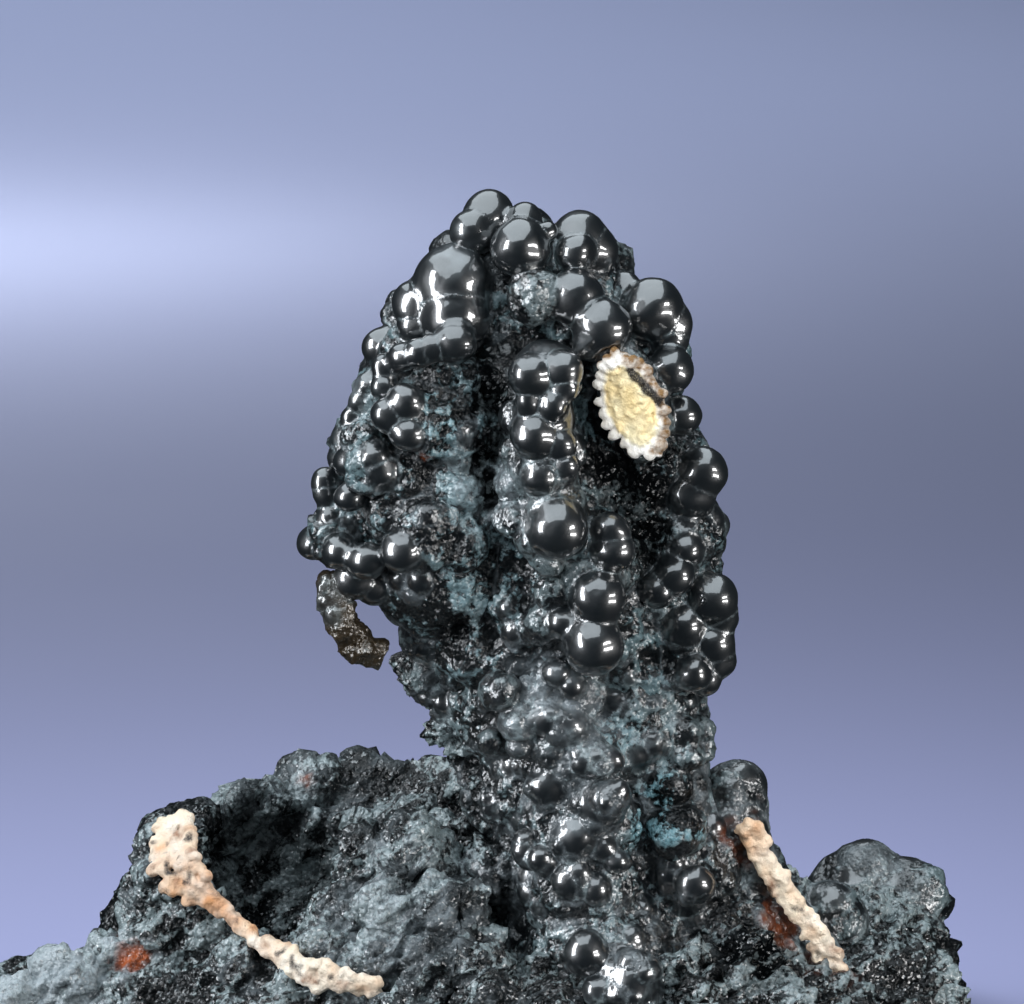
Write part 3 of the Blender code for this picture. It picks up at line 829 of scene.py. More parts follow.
# How often the skin is drawn to the smooth surface, whose distance is exact only close by.
SETTLING_ROUNDS = 3
# Middle of the ridges' noise, and the shade painted there.
MID_RIDGE = 0.65
MID_SHADE = 0.52
# Widths of the crust's patterns, mm.
WOBBLE = 3.4
SWELL = 6.5
CRUMB = 3.2
FINE_CRUMB = 1.3
BIG_GRAIN = 1.5
SMALL_GRAIN = 0.75


@dataclass
class Growth:
    """The smooth surface that a set of lumps grows together into.

    Attributes:
        middles: The lumps' middles in mm.
        radii: Their radii in mm.
        looks: What their skins give, one row per lump in the order of LOOK_FIELDS.
        fillet: Width of the fillet between two lumps, in mm.
    """

    middles: Array
    radii: Array
    looks: Array
    fillet: float

    def at(self, points: Array) -> tuple[Array, Array, Array, Array]:
        """Measures the surface from some points.

        Args:
            points: Places in mm.

        Returns:
            Height above the surface, the way out, the blended looks, and how deep in a crease each point is.
        """
        height = np.empty(len(points))
        outward = np.empty((len(points), 3))
        looks = np.empty((len(points), self.looks.shape[1]))
        crease = np.empty(len(points))
        _, cell = np.unique(np.floor(points / CELL).astype(np.int64), axis=0, return_inverse=True)
        order = np.argsort(cell.ravel(), kind="stable")
        for group in np.split(order, np.flatnonzero(np.diff(cell.ravel()[order])) + 1):
            here = points[group]
            centre = (here.min(axis=0) + here.max(axis=0)) / 2.0
            reach = float(np.linalg.norm(here.max(axis=0) - centre))
            clear = np.linalg.norm(self.middles - centre, axis=1) - self.radii
            near = clear < clear.min() + 2.0 * reach + BLENDS_FELT * max(self.fillet, SOFT_BLEND)
            rel = here[:, None, :] - self.middles[near][None]
            away = np.maximum(np.sqrt(np.einsum("mnd,mnd->mn", rel, rel)), 1e-6)
            gap = away - self.radii[near]
            least = gap.min(axis=1, keepdims=True)
            pull = np.exp(-(gap - least) / self.fillet)
            total = pull.sum(axis=1, keepdims=True)
            height[group] = least[:, 0] - self.fillet * np.log(total[:, 0])
            outward[group] = np.einsum("mn,mnd->md", pull / total / away, rel)
            soft = np.exp(-(gap - least) / SOFT_BLEND)
            soft /= soft.sum(axis=1, keepdims=True)
            looks[group] = soft @ self.looks[near]
            crease[group] = 1.0 - soft.max(axis=1)
        return height, outward, looks, crease


@dataclass
class Crust:
    """A cluster of lumps as one closed skin.

    Attributes:
        name: The piece's name.
        groups: Tables of lumps with their skins.
        voxel: Width of the skin's squares in mm.
        fillet: Width of the fillet between lumps in mm.
        seed: Picks the relief.
        streak: The way the crumbs are drawn out; its length is the share taken off along it.
        cuts: Planes where a neighbouring piece takes over, each as a point in mm and the side left out.
    """

    name: str
    groups: Sequence[tuple[Sequence[Row], Skin]]
    voxel: float
    fillet: float = 0.2
    seed: int = 1
    streak: Place = (0.0, 0.0, 0.0)
    cuts: Sequence[tuple[Place, Place]] = ()

    def growth(self) -> Growth:
        """Gathers the lumps into one smooth surface.

        Returns:
            The surface.
        """
        middles, radii, looks = [], [], []
        for rows, skin in self.groups:
            look = SKINS[skin]
            for x, seen, y, radius in rows:
                middles.append(tuple(stand(x, seen, y)))
                radii.append(radius)
                looks.append([getattr(look, key) for key in LOOK_FIELDS])
        return Growth(np.array(middles), np.array(radii), np.array(looks), self.fillet)

    def rough_out(self, growth: Growth) -> Thing:
        """Makes the skin from one ball per lump.

        Args:
            growth: The lumps.

        Returns:
            The new object, its surface within a voxel of the growth's.
        """
        thing = link(self.name, ball_heap(self.name, growth.middles, growth.radii))
        grow_together(thing, self.voxel)
        return thing

    def carve(self, points: Array, height: Array, outward: Array) -> tuple[Array, Array]:
        """Lets a kind of crust take something out of its surface. A plain one takes nothing."""
        return height, outward

    def drawn_out(self, points: Array) -> Array:
        """Squeezes places along the streak, so that patterns read there come out as long ridges."""
        along = np.array(self.streak)
        return points - (points @ along)[:, None] * along[None]

    def relief(self, points: Array, looks: dict[str, Array], crease: Array) -> Array:
        """Height of the grown relief.

        Args:
            points: Places in mm.
            looks: Blended looks by name.
            crease: How deep in a crease each point is.

        Returns:
            Height in mm.
        """
        open_skin = 1.0 - np.clip(crease * 1.6, 0.0, 0.85)
        wave = waves(points, WOBBLE, self.seed) + 0.35 * waves(points, 1.5, self.seed + 1)
        drawn = self.drawn_out(points)
        big, small = grains(drawn, BIG_GRAIN, self.seed + 2), grains(drawn, SMALL_GRAIN, self.seed + 3)
        crumbs = rubble(drawn, CRUMB, self.seed + 4, octaves=4)
        swell = waves(drawn, SWELL, self.seed + 9)
        # The last number of a term brings its mean near zero, so that a lump keeps its size.
        return (
            looks["wobble"] * wave * open_skin
            + looks["domes"] * (0.9 * big + 0.6 * small - 0.75)
            + looks["crumble"] * (2.2 * crumbs + 0.5 * swell - 1.1)
        )

    def build(self) -> Thing:
        """Grows the skin and paints what the material reads.

        Returns:
            The finished piece, without its material.
        """
        growth = self.growth()
        thing = self.rough_out(growth)
        for spot, way in self.cuts:
            slice_off(thing, Vector(spot), Vector(way))
        mesh = thing.data
        points = places(mesh)
        for _ in range(SETTLING_ROUNDS):
            height, outward, _, _ = growth.at(points)
            height, outward = self.carve(points, height, outward)
            steep = np.maximum(np.einsum("md,md->m", outward, outward), 0.3)
            step = np.clip(height / steep, -2.0 * self.voxel, 2.0 * self.voxel)
            points = points - outward * step[:, None]
        height, outward, blended, crease = growth.at(points)
        height, outward = self.carve(points, height, outward)
        looks = dict(zip(LOOK_FIELDS, blended.T))
        length = np.maximum(np.linalg.norm(outward, axis=1), 1e-6)[:, None]
        points = points + outward / length * self.relief(points, looks, crease)[:, None]
        move_to(mesh, points)
        self.finish_shape(thing)
        self.paint_skin(mesh, growth)
        smooth_shaded(mesh)
        return thing

    def finish_shape(self, thing: Thing) -> None:
        """Lets a kind of crust cut its finished mesh. A plain one is left whole."""

    def paint_skin(self, mesh: Mesh, growth: Growth) -> None:
        """Paints gloss, tint and stains on the finished mesh.

        Args:
            mesh: The piece's mesh.
            growth: Its lumps.
        """
        points = places(mesh)
        _, _, blended, crease = growth.at(points)
        looks = dict(zip(LOOK_FIELDS, blended.T))
        up = facings(mesh)[:, 2]
        patchy = waves(points, 2.2, self.seed + 20) * 0.5 + waves(points, 0.8, self.seed + 21) * 0.3
        dusty = stain_at(points, DUST_STAINS, self.seed + 22)
        # Black crust and painted shade: the soot stains darken cracks and recesses, and clear dust and tint
        # there.
        soot = stain_at(points, SOOT_AND_SHADE_STAINS, self.seed + 28)
        dust = np.clip(crease * 1.5 - 0.45, 0.0, 1.0) * (0.5 + 0.8 * patchy)
        dust = np.maximum(dust, dusty * np.clip(1.1 - looks["gloss"] + patchy * 0.6 + 0.3 * up, 0.0, 1.0))
        dust = dust * (1.0 - soot)
        gloss = looks["gloss"] * (1.0 - np.clip(crease * 2.4 - 0.8, 0.0, 0.7))
        gloss = gloss * (1.0 - 0.5 * np.clip(dusty + patchy * 0.8 - 0.55, 0.0, 1.0))
        dull = np.clip(4.0 * (1.0 - looks["gloss"]), 0.0, 1.0)
        druse = stain_at(points, TEAL_STAINS, self.seed + 24) * dull
        teal = np.maximum(looks["teal"] * (0.75 + 0.4 * patchy), druse)
        gloss = gloss * (1.0 - 0.85 * druse)
        gloss = gloss * np.clip(1.0 - 2.0 * soot * (1.0 - looks["gloss"]), 0.0, 1.0)
        # Painted shade: the same crumbs that raise the relief are painted paler on their ridges and darker in
        # their hollows and creases, and painted light lifts the teal druse.
        drawn = self.drawn_out(points)
        ridges = rubble(drawn, CRUMB, self.seed + 4, octaves=4) + 0.5 * waves(drawn, 5.0, self.seed + 30)
        ridges += 0.7 * rubble(drawn, FINE_CRUMB, self.seed + 31)
        paint(
            mesh,
            gloss=gloss,
            dust=dust,
            teal=teal * (1.0 - soot),
            soot=soot * (1.0 - 0.35 * looks["gloss"]),
            grit=looks["crumble"] / SKINS[Skin.CRUMBLY].crumble,
            shade=MID_SHADE + 1.3 * (ridges - MID_RIDGE) - 0.4 * crease + 0.35 * druse,
            rust=stain_at(points, RUST_STAINS, self.seed + 26),
            bronze=looks["bronze"],
        )


@dataclass
class SnappedCluster(Crust):
    """The head, with one stub snapped off flat.

    Attributes:
        at_point: A point on the flat face, mm.
        facing: The way the face looks.
        long_way: The oval's long direction.
        half: Half length and half width of the oval in mm.
    """

    at_point: Vector = field(default_factory=Vector)
    facing: Vector = field(default_factory=Vector)
    long_way: Vector = field(default_factory=Vector)
    half: tuple[float, float] = (6.2, 4.2)

    def carve(self, points: Array, height: Array, outward: Array) -> tuple[Array, Array]:
        """Flattens what stands in front of the snapped face.

        Args:
            points: Places in mm.
            height: Height above the surface.
            outward: The way out of the surface.

        Returns:
            The same two with the face cut.
        """
        rel = points - np.array(self.at_point)
        along = rel @ np.array(self.long_way)
        over = rel @ np.array(self.facing)
        side = rel @ np.array(self.facing.cross(self.long_way))
        within = (along / self.half[0]) ** 2 + (side / self.half[1]) ** 2 < 1.0
        cut = within & (over > height)
        height = np.where(cut, over, height)
        outward = np.where(cut[:, None], np.array(self.facing), outward)
        return height, outward


@dataclass
class SawnBase(Crust):
    """The crusted base, with a hollow and a sawn foot.

    Attributes:
        hollow_at: The hollow's middle: x, seen, y in mm.
        hollow_half: Its half lengths in mm.
    """

    hollow_at: Place = (-18.1, 10.8, 10.5)
    hollow_half: Place = (10.4, 12.6, 10.8)

    def rough_out(self, growth: Growth) -> Thing:
        """Makes the skin and scoops the hollow out of it.

        Args:
            growth: The lumps.

        Returns:
            The new object.
        """
        thing = super().rough_out(growth)
        egg = bmesh.new()
        half = Vector(self.hollow_half) * MM
        place = Matrix.Translation(stand(*self.hollow_at) * MM) @ Matrix.Diagonal((*half, 1.0))
        bmesh.ops.create_icosphere(egg, subdivisions=5, radius=1.0, matrix=place)
        cutter = from_shape("hollow", egg)
        mesh = cutter.data
        scoop = thing.modifiers.new("scoop", "BOOLEAN")
        scoop.operation = "DIFFERENCE"
        scoop.object = cutter
        bake_modifiers(thing)
        bpy.data.objects.remove(cutter)
        bpy.data.meshes.remove(mesh)
        grow_together(thing, self.voxel)
        return thing

    def carve(self, points: Array, height: Array, outward: Array) -> tuple[Array, Array]:
        """Takes the hollow out of the surface.

        Args:
            points: Places in mm.
            height: Height above the surface.
            outward: The way out of the surface.

        Returns:
            The same two with the hollow.
        """
        half = np.array(self.hollow_half)
        part = (points - np.array(stand(*self.hollow_at))) / half
        span = np.maximum(np.linalg.norm(part, axis=1), 1e-6)
        slope = part / half
        steep = np.maximum(np.linalg.norm(slope, axis=1), 1e-6)
        inside = (1.0 - span) * span / steep
        cut = inside > height
        height = np.where(cut, inside, height)
        outward = np.where(cut[:, None], -slope / steep[:, None], outward)
        return height, outward

    def finish_shape(self, thing: Thing) -> None:
        """Saws the base off flat at the ground and closes the cut.

        Args:
            thing: The base.
        """
        slice_off(thing, Vector(), Vector((0.0, 0.0, -1.0)))


def pebble(shape: Shape, middle: Vector, half: Vector, turn: Matrix, subdivisions: int = 2) -> None:
    """Adds one egg-shaped grain.

    Args:
        shape: The mesh it goes into.
        middle: Its middle in mm.
        half: Its half lengths in mm.
        turn: Its turn, 3 by 3.
        subdivisions: How finely it is divided.
    """
    place = Matrix.Translation(middle * MM) @ turn.to_4x4() @ Matrix.Diagonal((*(half * MM), 1.0))
    bmesh.ops.create_icosphere(shape, subdivisions=subdivisions, radius=1.0, matrix=place)


@dataclass
class SnappedFace:
    """The oval face of the snapped stub: a pale grainy core in a scalloped rim of radial fibres.

    Attributes:
        name: The piece's name.
        middle: The oval's middle in mm.
        facing: The way it looks.
        long_way: Its long direction.
        half: Half length and half width in mm.
        teeth: How many fibre bundles stand round the rim.
        grains: How many grains lie on the core.
        voxel: Width of the skin's squares in mm.
        seed: Picks the grains.
    """

    name: str
    middle: Vector
    facing: Vector
    long_way: Vector
    half: tuple[float, float] = (5.7, 3.4)
    teeth: int = 24
    grains: int = 110
    voxel: float = 0.13
    seed: int = 11

    def build(self) -> Thing:
        """Makes the face from fibre bundles and core grains.

        Returns:
            The finished piece, without its material.
        """
        dice = random.Random(self.seed)
        across = self.facing.cross(self.long_way)
        shape = bmesh.new()
        plate = Matrix((self.long_way, across, self.facing)).transposed()
        size = Vector((self.half[0] - 0.25, self.half[1] - 0.25, 0.8))
        pebble(shape, self.middle - self.facing * 0.5, size, plate, subdivisions=5)
        for tooth in range(self.teeth):
            angle = (tooth + dice.uniform(-0.22, 0.22)) * math.tau / self.teeth
            reach = 1.0 + dice.uniform(-0.1, 0.06)
            spot = (
                self.middle
                + self.long_way * (self.half[0] - 0.55) * math.cos(angle) * reach
                + across * (self.half[1] - 0.55) * math.sin(angle) * reach
                + self.facing * dice.uniform(-0.16, 0.12)
            )
            outward = self.long_way * self.half[1] * math.cos(angle) + across * self.half[0] * math.sin(angle)
            outward.normalize()
            turn = Matrix((outward, self.facing.cross(outward), self.facing)).transposed()
            size = Vector((dice.uniform(0.7, 1.15), dice.uniform(0.5, 0.8), dice.uniform(0.4, 0.7)))
            pebble(shape, spot, size, turn)
        for _ in range(self.grains):
            angle = dice.uniform(0.0, math.tau)
            share = math.sqrt(dice.random()) * 0.8
            spot = (
                self.middle
                + self.long_way * self.half[0] * share * math.cos(angle)
                + across * self.half[1] * share * math.sin(angle)
                + self.facing * dice.uniform(-0.15, 0.25)
            )
            size = Vector((dice.uniform(0.25, 0.6), dice.uniform(0.25, 0.5), dice.uniform(0.2, 0.4)))
            pebble(shape, spot, size, Matrix.Rotation(dice.uniform(0.0, math.tau), 3, "Z") @ plate)
        thing = from_shape(self.name, shape)
        grow_together(thing, self.voxel)
        mesh = thing.data
        points = places(mesh)
        lift = 0.07 * rubble(points, 0.7, self.seed) + 0.05 * waves(points, 0.4, self.seed + 5)
        points = points + facings(mesh) * lift[:, None]
        move_to(mesh, points)
        self.paint_face(mesh, points, across)
        smooth_shaded(mesh)
        return thing

    def paint_face(self, mesh: Mesh, points: Array, across: Vector) -> None:
        """Paints the rim, the warm core, the brown stains and the painted shade of a crack.

        Args:
            mesh: The face's mesh.
            points: Its vertices in mm.
            across: The oval's short direction.
        """
        rel = points - np.array(self.middle)
        along = rel @ np.array(self.long_way) / self.half[0]
        side = rel @ np.array(across) / self.half[1]
        out = np.sqrt(along**2 + side**2) + 0.05 * waves(points, 0.8, self.seed + 6)
        rim = np.clip((out - 0.7) * 9.0, 0.0, 1.0)
        right = side * float(np.sign(across.x or 1.0))
        top = np.clip((-along - 0.72 + 0.25 * waves(points, 1.2, self.seed + 7)) * 6.0, 0.0, 1.0)
        edge = np.clip((right - 0.25 + 0.5 * waves(points, 0.9, self.seed + 8)) * 3.0, 0.0, 0.8)
        brown = np.maximum(top, rim * edge)
        # Painted shade of a crack that slants down to the right.
        slant = right - 0.6 - 0.77 * (along + 0.26)
        hole = np.hypot((along + 0.26) / 0.5, slant / 0.24) + 0.35 * waves(points, 0.7, self.seed + 9)
        amber = np.clip(0.5 + 0.6 * waves(points, 1.4, self.seed + 10), 0.0, 1.0)
        paint(mesh, rim=rim, brown=brown, dark=(1.0 - hole) * 3.0, warm=amber * (1.0 - rim))


@dataclass
class BrokenRim:
    """A broken edge of the crust: a ragged pale strip along a path.

    Attributes:
        name: The piece's name.
        path: Points of the strip's middle: x, seen, y and half width in mm.
        warm: How orange the strip is at each point of the path, 0 to 1.
        voxel: Width of the skin's squares in mm.
        thickness: Half thickness of the grains in mm.
        stride: From one row of grains to the next, in mm.
        seed: Picks the grains.
    """

    name: str
    path: Sequence[Row]
    warm: Sequence[float]
    voxel: float = 0.17
    thickness: float = 0.75
    stride: float = 0.34
    seed: int = 21

    def build(self) -> Thing:
        """Strews grains along the path and grows them together.

        Returns:
            The finished piece, without its material.
        """
        dice = random.Random(self.seed)
        shape = bmesh.new()
        for (*first, w0), (*last, w1) in zip(self.path, self.path[1:]):
            start, end = stand(*first), stand(*last)
            steps = max(2, int((end - start).length / self.stride))
            for step in range(steps):
                share = (step + 0.5) / steps
                width = w0 + (w1 - w0) * share
                middle = start.lerp(end, share)
                side = Vector((1.0, -0.35, 0.35)).cross(end - start).cross(end - start).normalized()
                for _ in range(2 + int(width * 1.6)):
                    spot = middle + side * dice.uniform(-1.0, 1.0) * width
                    spot += Vector([dice.uniform(-stray, stray) for stray in (0.2, 0.3, 0.2)])
                    size = Vector([dice.uniform(0.5, 1.0) * self.thickness for _ in range(3)])
                    turn = Matrix.Rotation(dice.uniform(0.0, math.tau), 3, Vector((1.0, 0.4, 0.2)))
                    pebble(shape, spot, size, turn)
        thing = from_shape(self.name, shape)
        grow_together(thing, self.voxel)
        worn = thing.modifiers.new("worn", "SMOOTH")
        worn.factor = 0.6
        worn.iterations = 8
        bake_modifiers(thing)
        mesh = thing.data
        points = places(mesh)
        lift = 0.12 * rubble(points, 1.1, self.seed + 1) + 0.06 * waves(points, 0.45, self.seed + 2)
        points = points + facings(mesh) * lift[:, None]
        move_to(mesh, points)
        self.paint_strip(mesh, points)
        smooth_shaded(mesh)
        return thing

    def paint_strip(self, mesh: Mesh, points: Array) -> None:
        """Paints the warm stretches and the dirt.

        Args:
            mesh: The strip's mesh.
            points: Its vertices in mm.
        """
        stops = np.array([stand(x, s, y) for x, s, y, _ in self.path])
        away = np.linalg.norm(points[:, None, :] - stops[None], axis=2)
        near = np.exp(-((away / 2.4) ** 2)) + 1e-9
        warm = (near * np.array(self.warm)).sum(axis=1) / near.sum(axis=1)
        speckle, pale, stained, dirty = (
            waves(points, size, self.seed + 3 + number) for number, size in enumerate((0.9, 1.6, 1.3, 0.8))
        )
        paint(
            mesh,
            warm=warm + 0.35 * speckle,
            rim=0.35 + 0.5 * pale,
            brown=np.clip(1.1 * stained - 0.3, 0.0, 1.0) + 0.3 * warm,
            dark=dirty * 1.8 - 0.7,
        )


@dataclass(frozen=True)
class GoethiteCrust:
    """Botryoidal goethite: black iron oxide, mirror-smooth where it grew freely.

    Attributes:
        black: The glossy skin.
        gap: The gaps between crystals, dark partly as painted shade.
        pale: Crystal tips of the dull skin.
        teal: Crystal tips of the blue-green drusy skin.
        dust: Pale dust in the creases.
        rust: Red-brown iron stain.
        bronze: Tarnished brown crust.
        soot: Black powdery crystals in the recesses, and painted shade there.
        ior: Refractive index of the mineral.
    """

    black: str = "#0b1013"
    gap: str = "#080a0b"
    pale: str = "#838f90"
    teal: str = "#6c939b"
    dust: str = "#8b9498"
    rust: str = "#a04e20"
    bronze: str = "#3f3426"
    soot: str = "#060708"
    ior: float = 2.3

    def material(self) -> bpy.types.Material:
        """Makes the material.

        Returns:
            The material.
        """
        material, tree, shader = new_material("botryoidal_goethite")
        # Goethite is black iron oxide with an index near 2.3. Its balls have a silky body sheen under
        # a glassy skin, its drusy skin glints from tiny crystal faces, and dust greys the creases.
        shader.inputs["IOR"].default_value = self.ior
        shader.inputs["Coat Roughness"].default_value = 0.045
        shader.inputs["Coat IOR"].default_value = 2.0
        where = add_node(tree, "ShaderNodeTexCoord", out="Object")
        masks = {
            name: add_node(tree, "ShaderNodeAttribute", {"attribute_name": name}, out="Fac")
            for name in ("gloss", "dust", "teal", "soot", "grit", "rust", "bronze", "shade")
        }
        cloud, grit, fine = (
            add_node(tree, NOISE, {"Scale": per_metre(size), "Detail": detail}, {"Vector": where})
            for size, detail in ((2.4, 4.0), (0.7, 5.0), (0.2, 2.0))
        )
        # Beads 0.6 mm apart, and crystal faces a quarter of a millimetre wide with a random tilt each.
        beads, faces = (
            add_node(tree, "ShaderNodeTexVoronoi", {"Scale": per_metre(size)}, {"Vector": where}, out)
            for size, out in ((0.6, "Distance"), (0.26, "Color"))
        )
        dull = add_node(tree, MATH, {"operation": "SUBTRACT", 0: 1.0}, {1: masks["gloss"]})
        tips = self.crystal_tips(tree, masks["shade"], grit, fine, beads)
        tints = {"data_type": "RGBA", 6: linear(self.pale), 7: linear(self.teal)}
        colour = add_node(tree, MIX, tints, {0: masks["teal"]}, out=2)
        # The gaps between the crystal tips come out near black, partly as painted shade; where the skin is
        # glossy it takes the crust's own black.
        for below, share in ((self.gap, tips), (self.black, dull)):
            settings = {"data_type": "RGBA", 6: linear(below)}
            colour = add_node(tree, MIX, settings, {0: share, 7: colour}, out=2)
        # Dust, rust and tarnish are the crust's own colours. The soot mask lays black crust and painted shade
        # over cracks and recesses.
        for name, noise, depth, tint in (
            ("dust", cloud, 1.1, self.dust),
            ("soot", cloud, 0.8, self.soot),
            ("rust", grit, 1.4, self.rust),
            ("bronze", cloud, 1.2, self.bronze),
        ):
            colour = lay_over(tree, masks[name], noise, depth, colour, tint)
        # One crystal face in five is clean enough to flash.
        red = add_node(tree, "ShaderNodeSeparateXYZ", {}, {0: faces}, out="X")
        clean = add_node(tree, MATH, {"operation": "GREATER_THAN", 1: 0.8}, {0: red})
        clean = add_node(tree, MATH, {"operation": "MULTIPLY"}, {0: clean, 1: masks["grit"]})
        glassy = add_node(tree, MATH, {"operation": "MAXIMUM"}, {0: clean, 1: masks["gloss"]})
        # Painted shade on the reflections: the specular level is low in the painted gaps between crystals and
        # under the soot, and high on the tips and the balls.
        shown = add_node(tree, MATH, {"operation": "MULTIPLY", 1: 0.3}, {0: tips})
        level = add_node(tree, MATH, {"operation": "MULTIPLY", 1: 0.28}, {0: glassy})
        level = add_node(tree, MATH, {"operation": "MAXIMUM"}, {0: level, 1: shown})
        bare = add_node(tree, MATH, {"operation": "SUBTRACT", 0: 1.0}, {1: masks["soot"]})
        level = add_node(tree, MATH, {"operation": "MULTIPLY"}, {0: level, 1: bare})
        smudge = add_node(tree, MATH, {"operation": "MULTIPLY_ADD", 1: 0.2, 2: 0.26}, {0: cloud})
        rough = add_node(tree, MATH, {"operation": "MULTIPLY_ADD", 1: 0.25}, {0: masks["dust"], 2: smudge})
        metal = add_node(tree, MATH, {"operation": "MULTIPLY", 1: 0.55}, {0: masks["bronze"]})
        normal = self.skin_normal(tree, dull, grit, fine, beads, faces)
        plug_in(
            tree,
            shader,
            {
                "Base Color": colour,
                "Coat Weight": glassy,
                "Specular IOR Level": level,
                "Roughness": rough,
                "Metallic": metal,
                "Normal": normal,
                "Coat Normal": normal,
            },
        )
        return material

    def crystal_tips(self, tree: Tree, shade: Socket, grit: Socket, fine: Socket, beads: Socket) -> Socket:
        """Tells the pale crystal tips of the dull skin from the black gaps between them, which are partly
        painted shade.

        Args:
            tree: The node tree.
            shade: Painted shade, high on ridges of the relief and low in its hollows and creases.
            grit: Coarse grit noise.
            fine: Fine grit noise.
            beads: Distance from the nearest bead's middle.

        Returns:
            1 on the tips and 0 in the gaps.
        """
        total = add_node(tree, MATH, {"operation": "MULTIPLY_ADD", 1: 3.6, 2: -3.3}, {0: grit})
        for share, noise in ((2.4, shade), (2.0, fine), (-1.5, beads)):
            settings = {"operation": "MULTIPLY_ADD", "use_clamp": noise == beads, 1: share}
            total = add_node(tree, MATH, settings, {0: noise, 2: total})
        return total

    def skin_normal(
        self, tree: Tree, dull: Socket, grit: Socket, fine: Socket, beads: Socket, faces: Socket
    ) -> Socket:
        """Builds the bump of the dull skin and the glints of its crystal faces.

        Args:
            tree: The node tree.
            dull: Share of skin that isn't glossy.
            grit: Coarse grit noise.
            fine: Fine grit noise.
            beads: Distance from the nearest bead's middle.
            faces: A random colour for each crystal face.

        Returns:
            The normal.
        """
        relief = add_node(tree, MATH, {"operation": "MULTIPLY", 1: -0.6}, {0: beads})
        for share, noise in ((0.5, grit), (0.25, fine)):
            relief = add_node(tree, MATH, {"operation": "MULTIPLY_ADD", 1: share}, {0: noise, 2: relief})
        height = add_node(tree, MATH, {"operation": "MULTIPLY"}, {0: relief, 1: dull})
        # Beads half a millimetre wide and about a quarter high on the dull skin.
        bump = add_node(tree, "ShaderNodeBump", {"Distance": 0.42 * MM}, {"Height": height})
        tipped = add_node(tree, VECTOR, {"operation": "SUBTRACT", 1: (0.5, 0.5, 0.5)}, {0: faces})
        amount = add_node(tree, MATH, {"operation": "MULTIPLY", 1: 0.8}, {0: dull})
        tipped = add_node(tree, VECTOR, {"operation": "SCALE"}, {0: tipped, "Scale": amount})
        summed = add_node(tree, VECTOR, {"operation": "ADD"}, {0: bump, 1: tipped})
        return add_node(tree, VECTOR, {"operation": "NORMALIZE"}, {0: summed})


@dataclass(frozen=True)
class PaleFibre:
    """Freshly broken goethite and limonite: pale radial fibres round a yellow earthy core.

    Attributes:
        name: The material's name.
        core: The earthy core.
        amber: Warmer grains in the core.
        fibre: Silky fibre ends of the rim.
        brown: Iron stain.
        black: Dark dirt, and the painted shade of a crack.
    """

    name: str
    core: str
    amber: str
    fibre: str
    brown: str
    black: str = "#1a1512"

    def material(self) -> bpy.types.Material:
        """Makes the material.

        Returns:
            The material.
        """
        material, tree, shader = new_material(self.name)
        # A broken face scatters light like chalk, with a faint silk on the fibre ends.
        shader.inputs["IOR"].default_value = 1.6
        where = add_node(tree, "ShaderNodeTexCoord", out="Object")
        masks = {
            name: add_node(tree, "ShaderNodeAttribute", {"attribute_name": name}, out="Fac")
            for name in ("rim", "brown", "dark", "warm")
        }
        crumbs, fine = (
            add_node(tree, NOISE, {"Scale": per_metre(size), "Detail": 5.0}, {"Vector": where})
            for size in (0.6, 0.16)
        )
        tints = {"data_type": "RGBA", 6: linear(self.core), 7: linear(self.amber)}
        colour = add_node(tree, MIX, tints, {0: masks["warm"]}, out=2)
        # Fibre rims and iron stain are the face's own colours. The dark mask is dirt, and on the oval it is
        # the painted shade of a crack.
        for name, noise, depth, tint in (
            ("rim", crumbs, 0.8, self.fibre),
            ("brown", crumbs, 1.4, self.brown),
            ("dark", fine, 1.2, self.black),
        ):
            colour = lay_over(tree, masks[name], noise, depth, colour, tint)
        rough = add_node(tree, MATH, {"operation": "MULTIPLY_ADD", 1: 0.3, 2: 0.5}, {0: crumbs})
        height = add_node(tree, MATH, {"operation": "MULTIPLY_ADD", 1: 0.4}, {0: fine, 2: crumbs})
        # Grains about half a millimetre wide with a finer sugary grain on them.
        bump = add_node(tree, "ShaderNodeBump", {"Distance": 0.35 * MM}, {"Height": height})
        plug_in(tree, shader, {"Base Color": colour, "Roughness": rough, "Normal": bump})
        return material


@dataclass(frozen=True)
class MattPaint:
    """Matt paint of the studio floor.

    Attributes:
        colour: The paint.
    """

    colour: str

    def material(self) -> bpy.types.Material:
        """Makes the material.

        Returns:
            The material.
        """
        material, tree, shader = new_material("matt_paint")
        # Plain matt emulsion: even and soft, with the faint mottling of a roller.
        where = add_node(tree, "ShaderNodeTexCoord", out="Object")
        mottle = add_node(tree, NOISE, {"Scale": per_metre(60.0)}, {"Vector": where})
        rough = add_node(tree, MATH, {"operation": "MULTIPLY_ADD", 1: 0.1, 2: 0.75}, {0: mottle})
        shader.inputs["Base Color"].default_value = linear(self.colour)
        plug_in(tree, shader, {"Roughness": rough})
        return material


@dataclass(frozen=True)
class Lamp:
    """A rectangular light.

    Attributes:
        name: The light's name.
        size: Its width and height in metres.
        radiance: How bright its face is.
        colour: The colour of its light.
        mirrored: Whether glossy skins reflect its face.
    """

    name: str
    size: tuple[float, float]
    radiance: float
    colour: str = "#ffffff"
    mirrored: bool = True

    def hang(self, spot: Vector, turn: Quaternion, lit: bpy.types.Collection) -> None:
        """Puts the light into the scene.

        Args:
            spot: Where it hangs in metres.
            turn: The way it is turned.
            lit: What it falls on.
        """
        light = bpy.data.lights.new(self.name, "AREA")
        light.shape = "RECTANGLE"
        light.size, light.size_y = self.size
        light.energy = math.pi * self.size[0] * self.size[1] * self.radiance
        light.color = linear(self.colour)[:3]
        lamp = bpy.data.objects.new(self.name, light)
        bpy.context.scene.collection.objects.link(lamp)
        lamp.visible_camera = False
        lamp.visible_glossy = self.mirrored
        lamp.light_linking.receiver_collection = lit
        lamp.location = spot
        lamp.rotation_mode = "QUATERNION"
        lamp.rotation_quaternion = turn


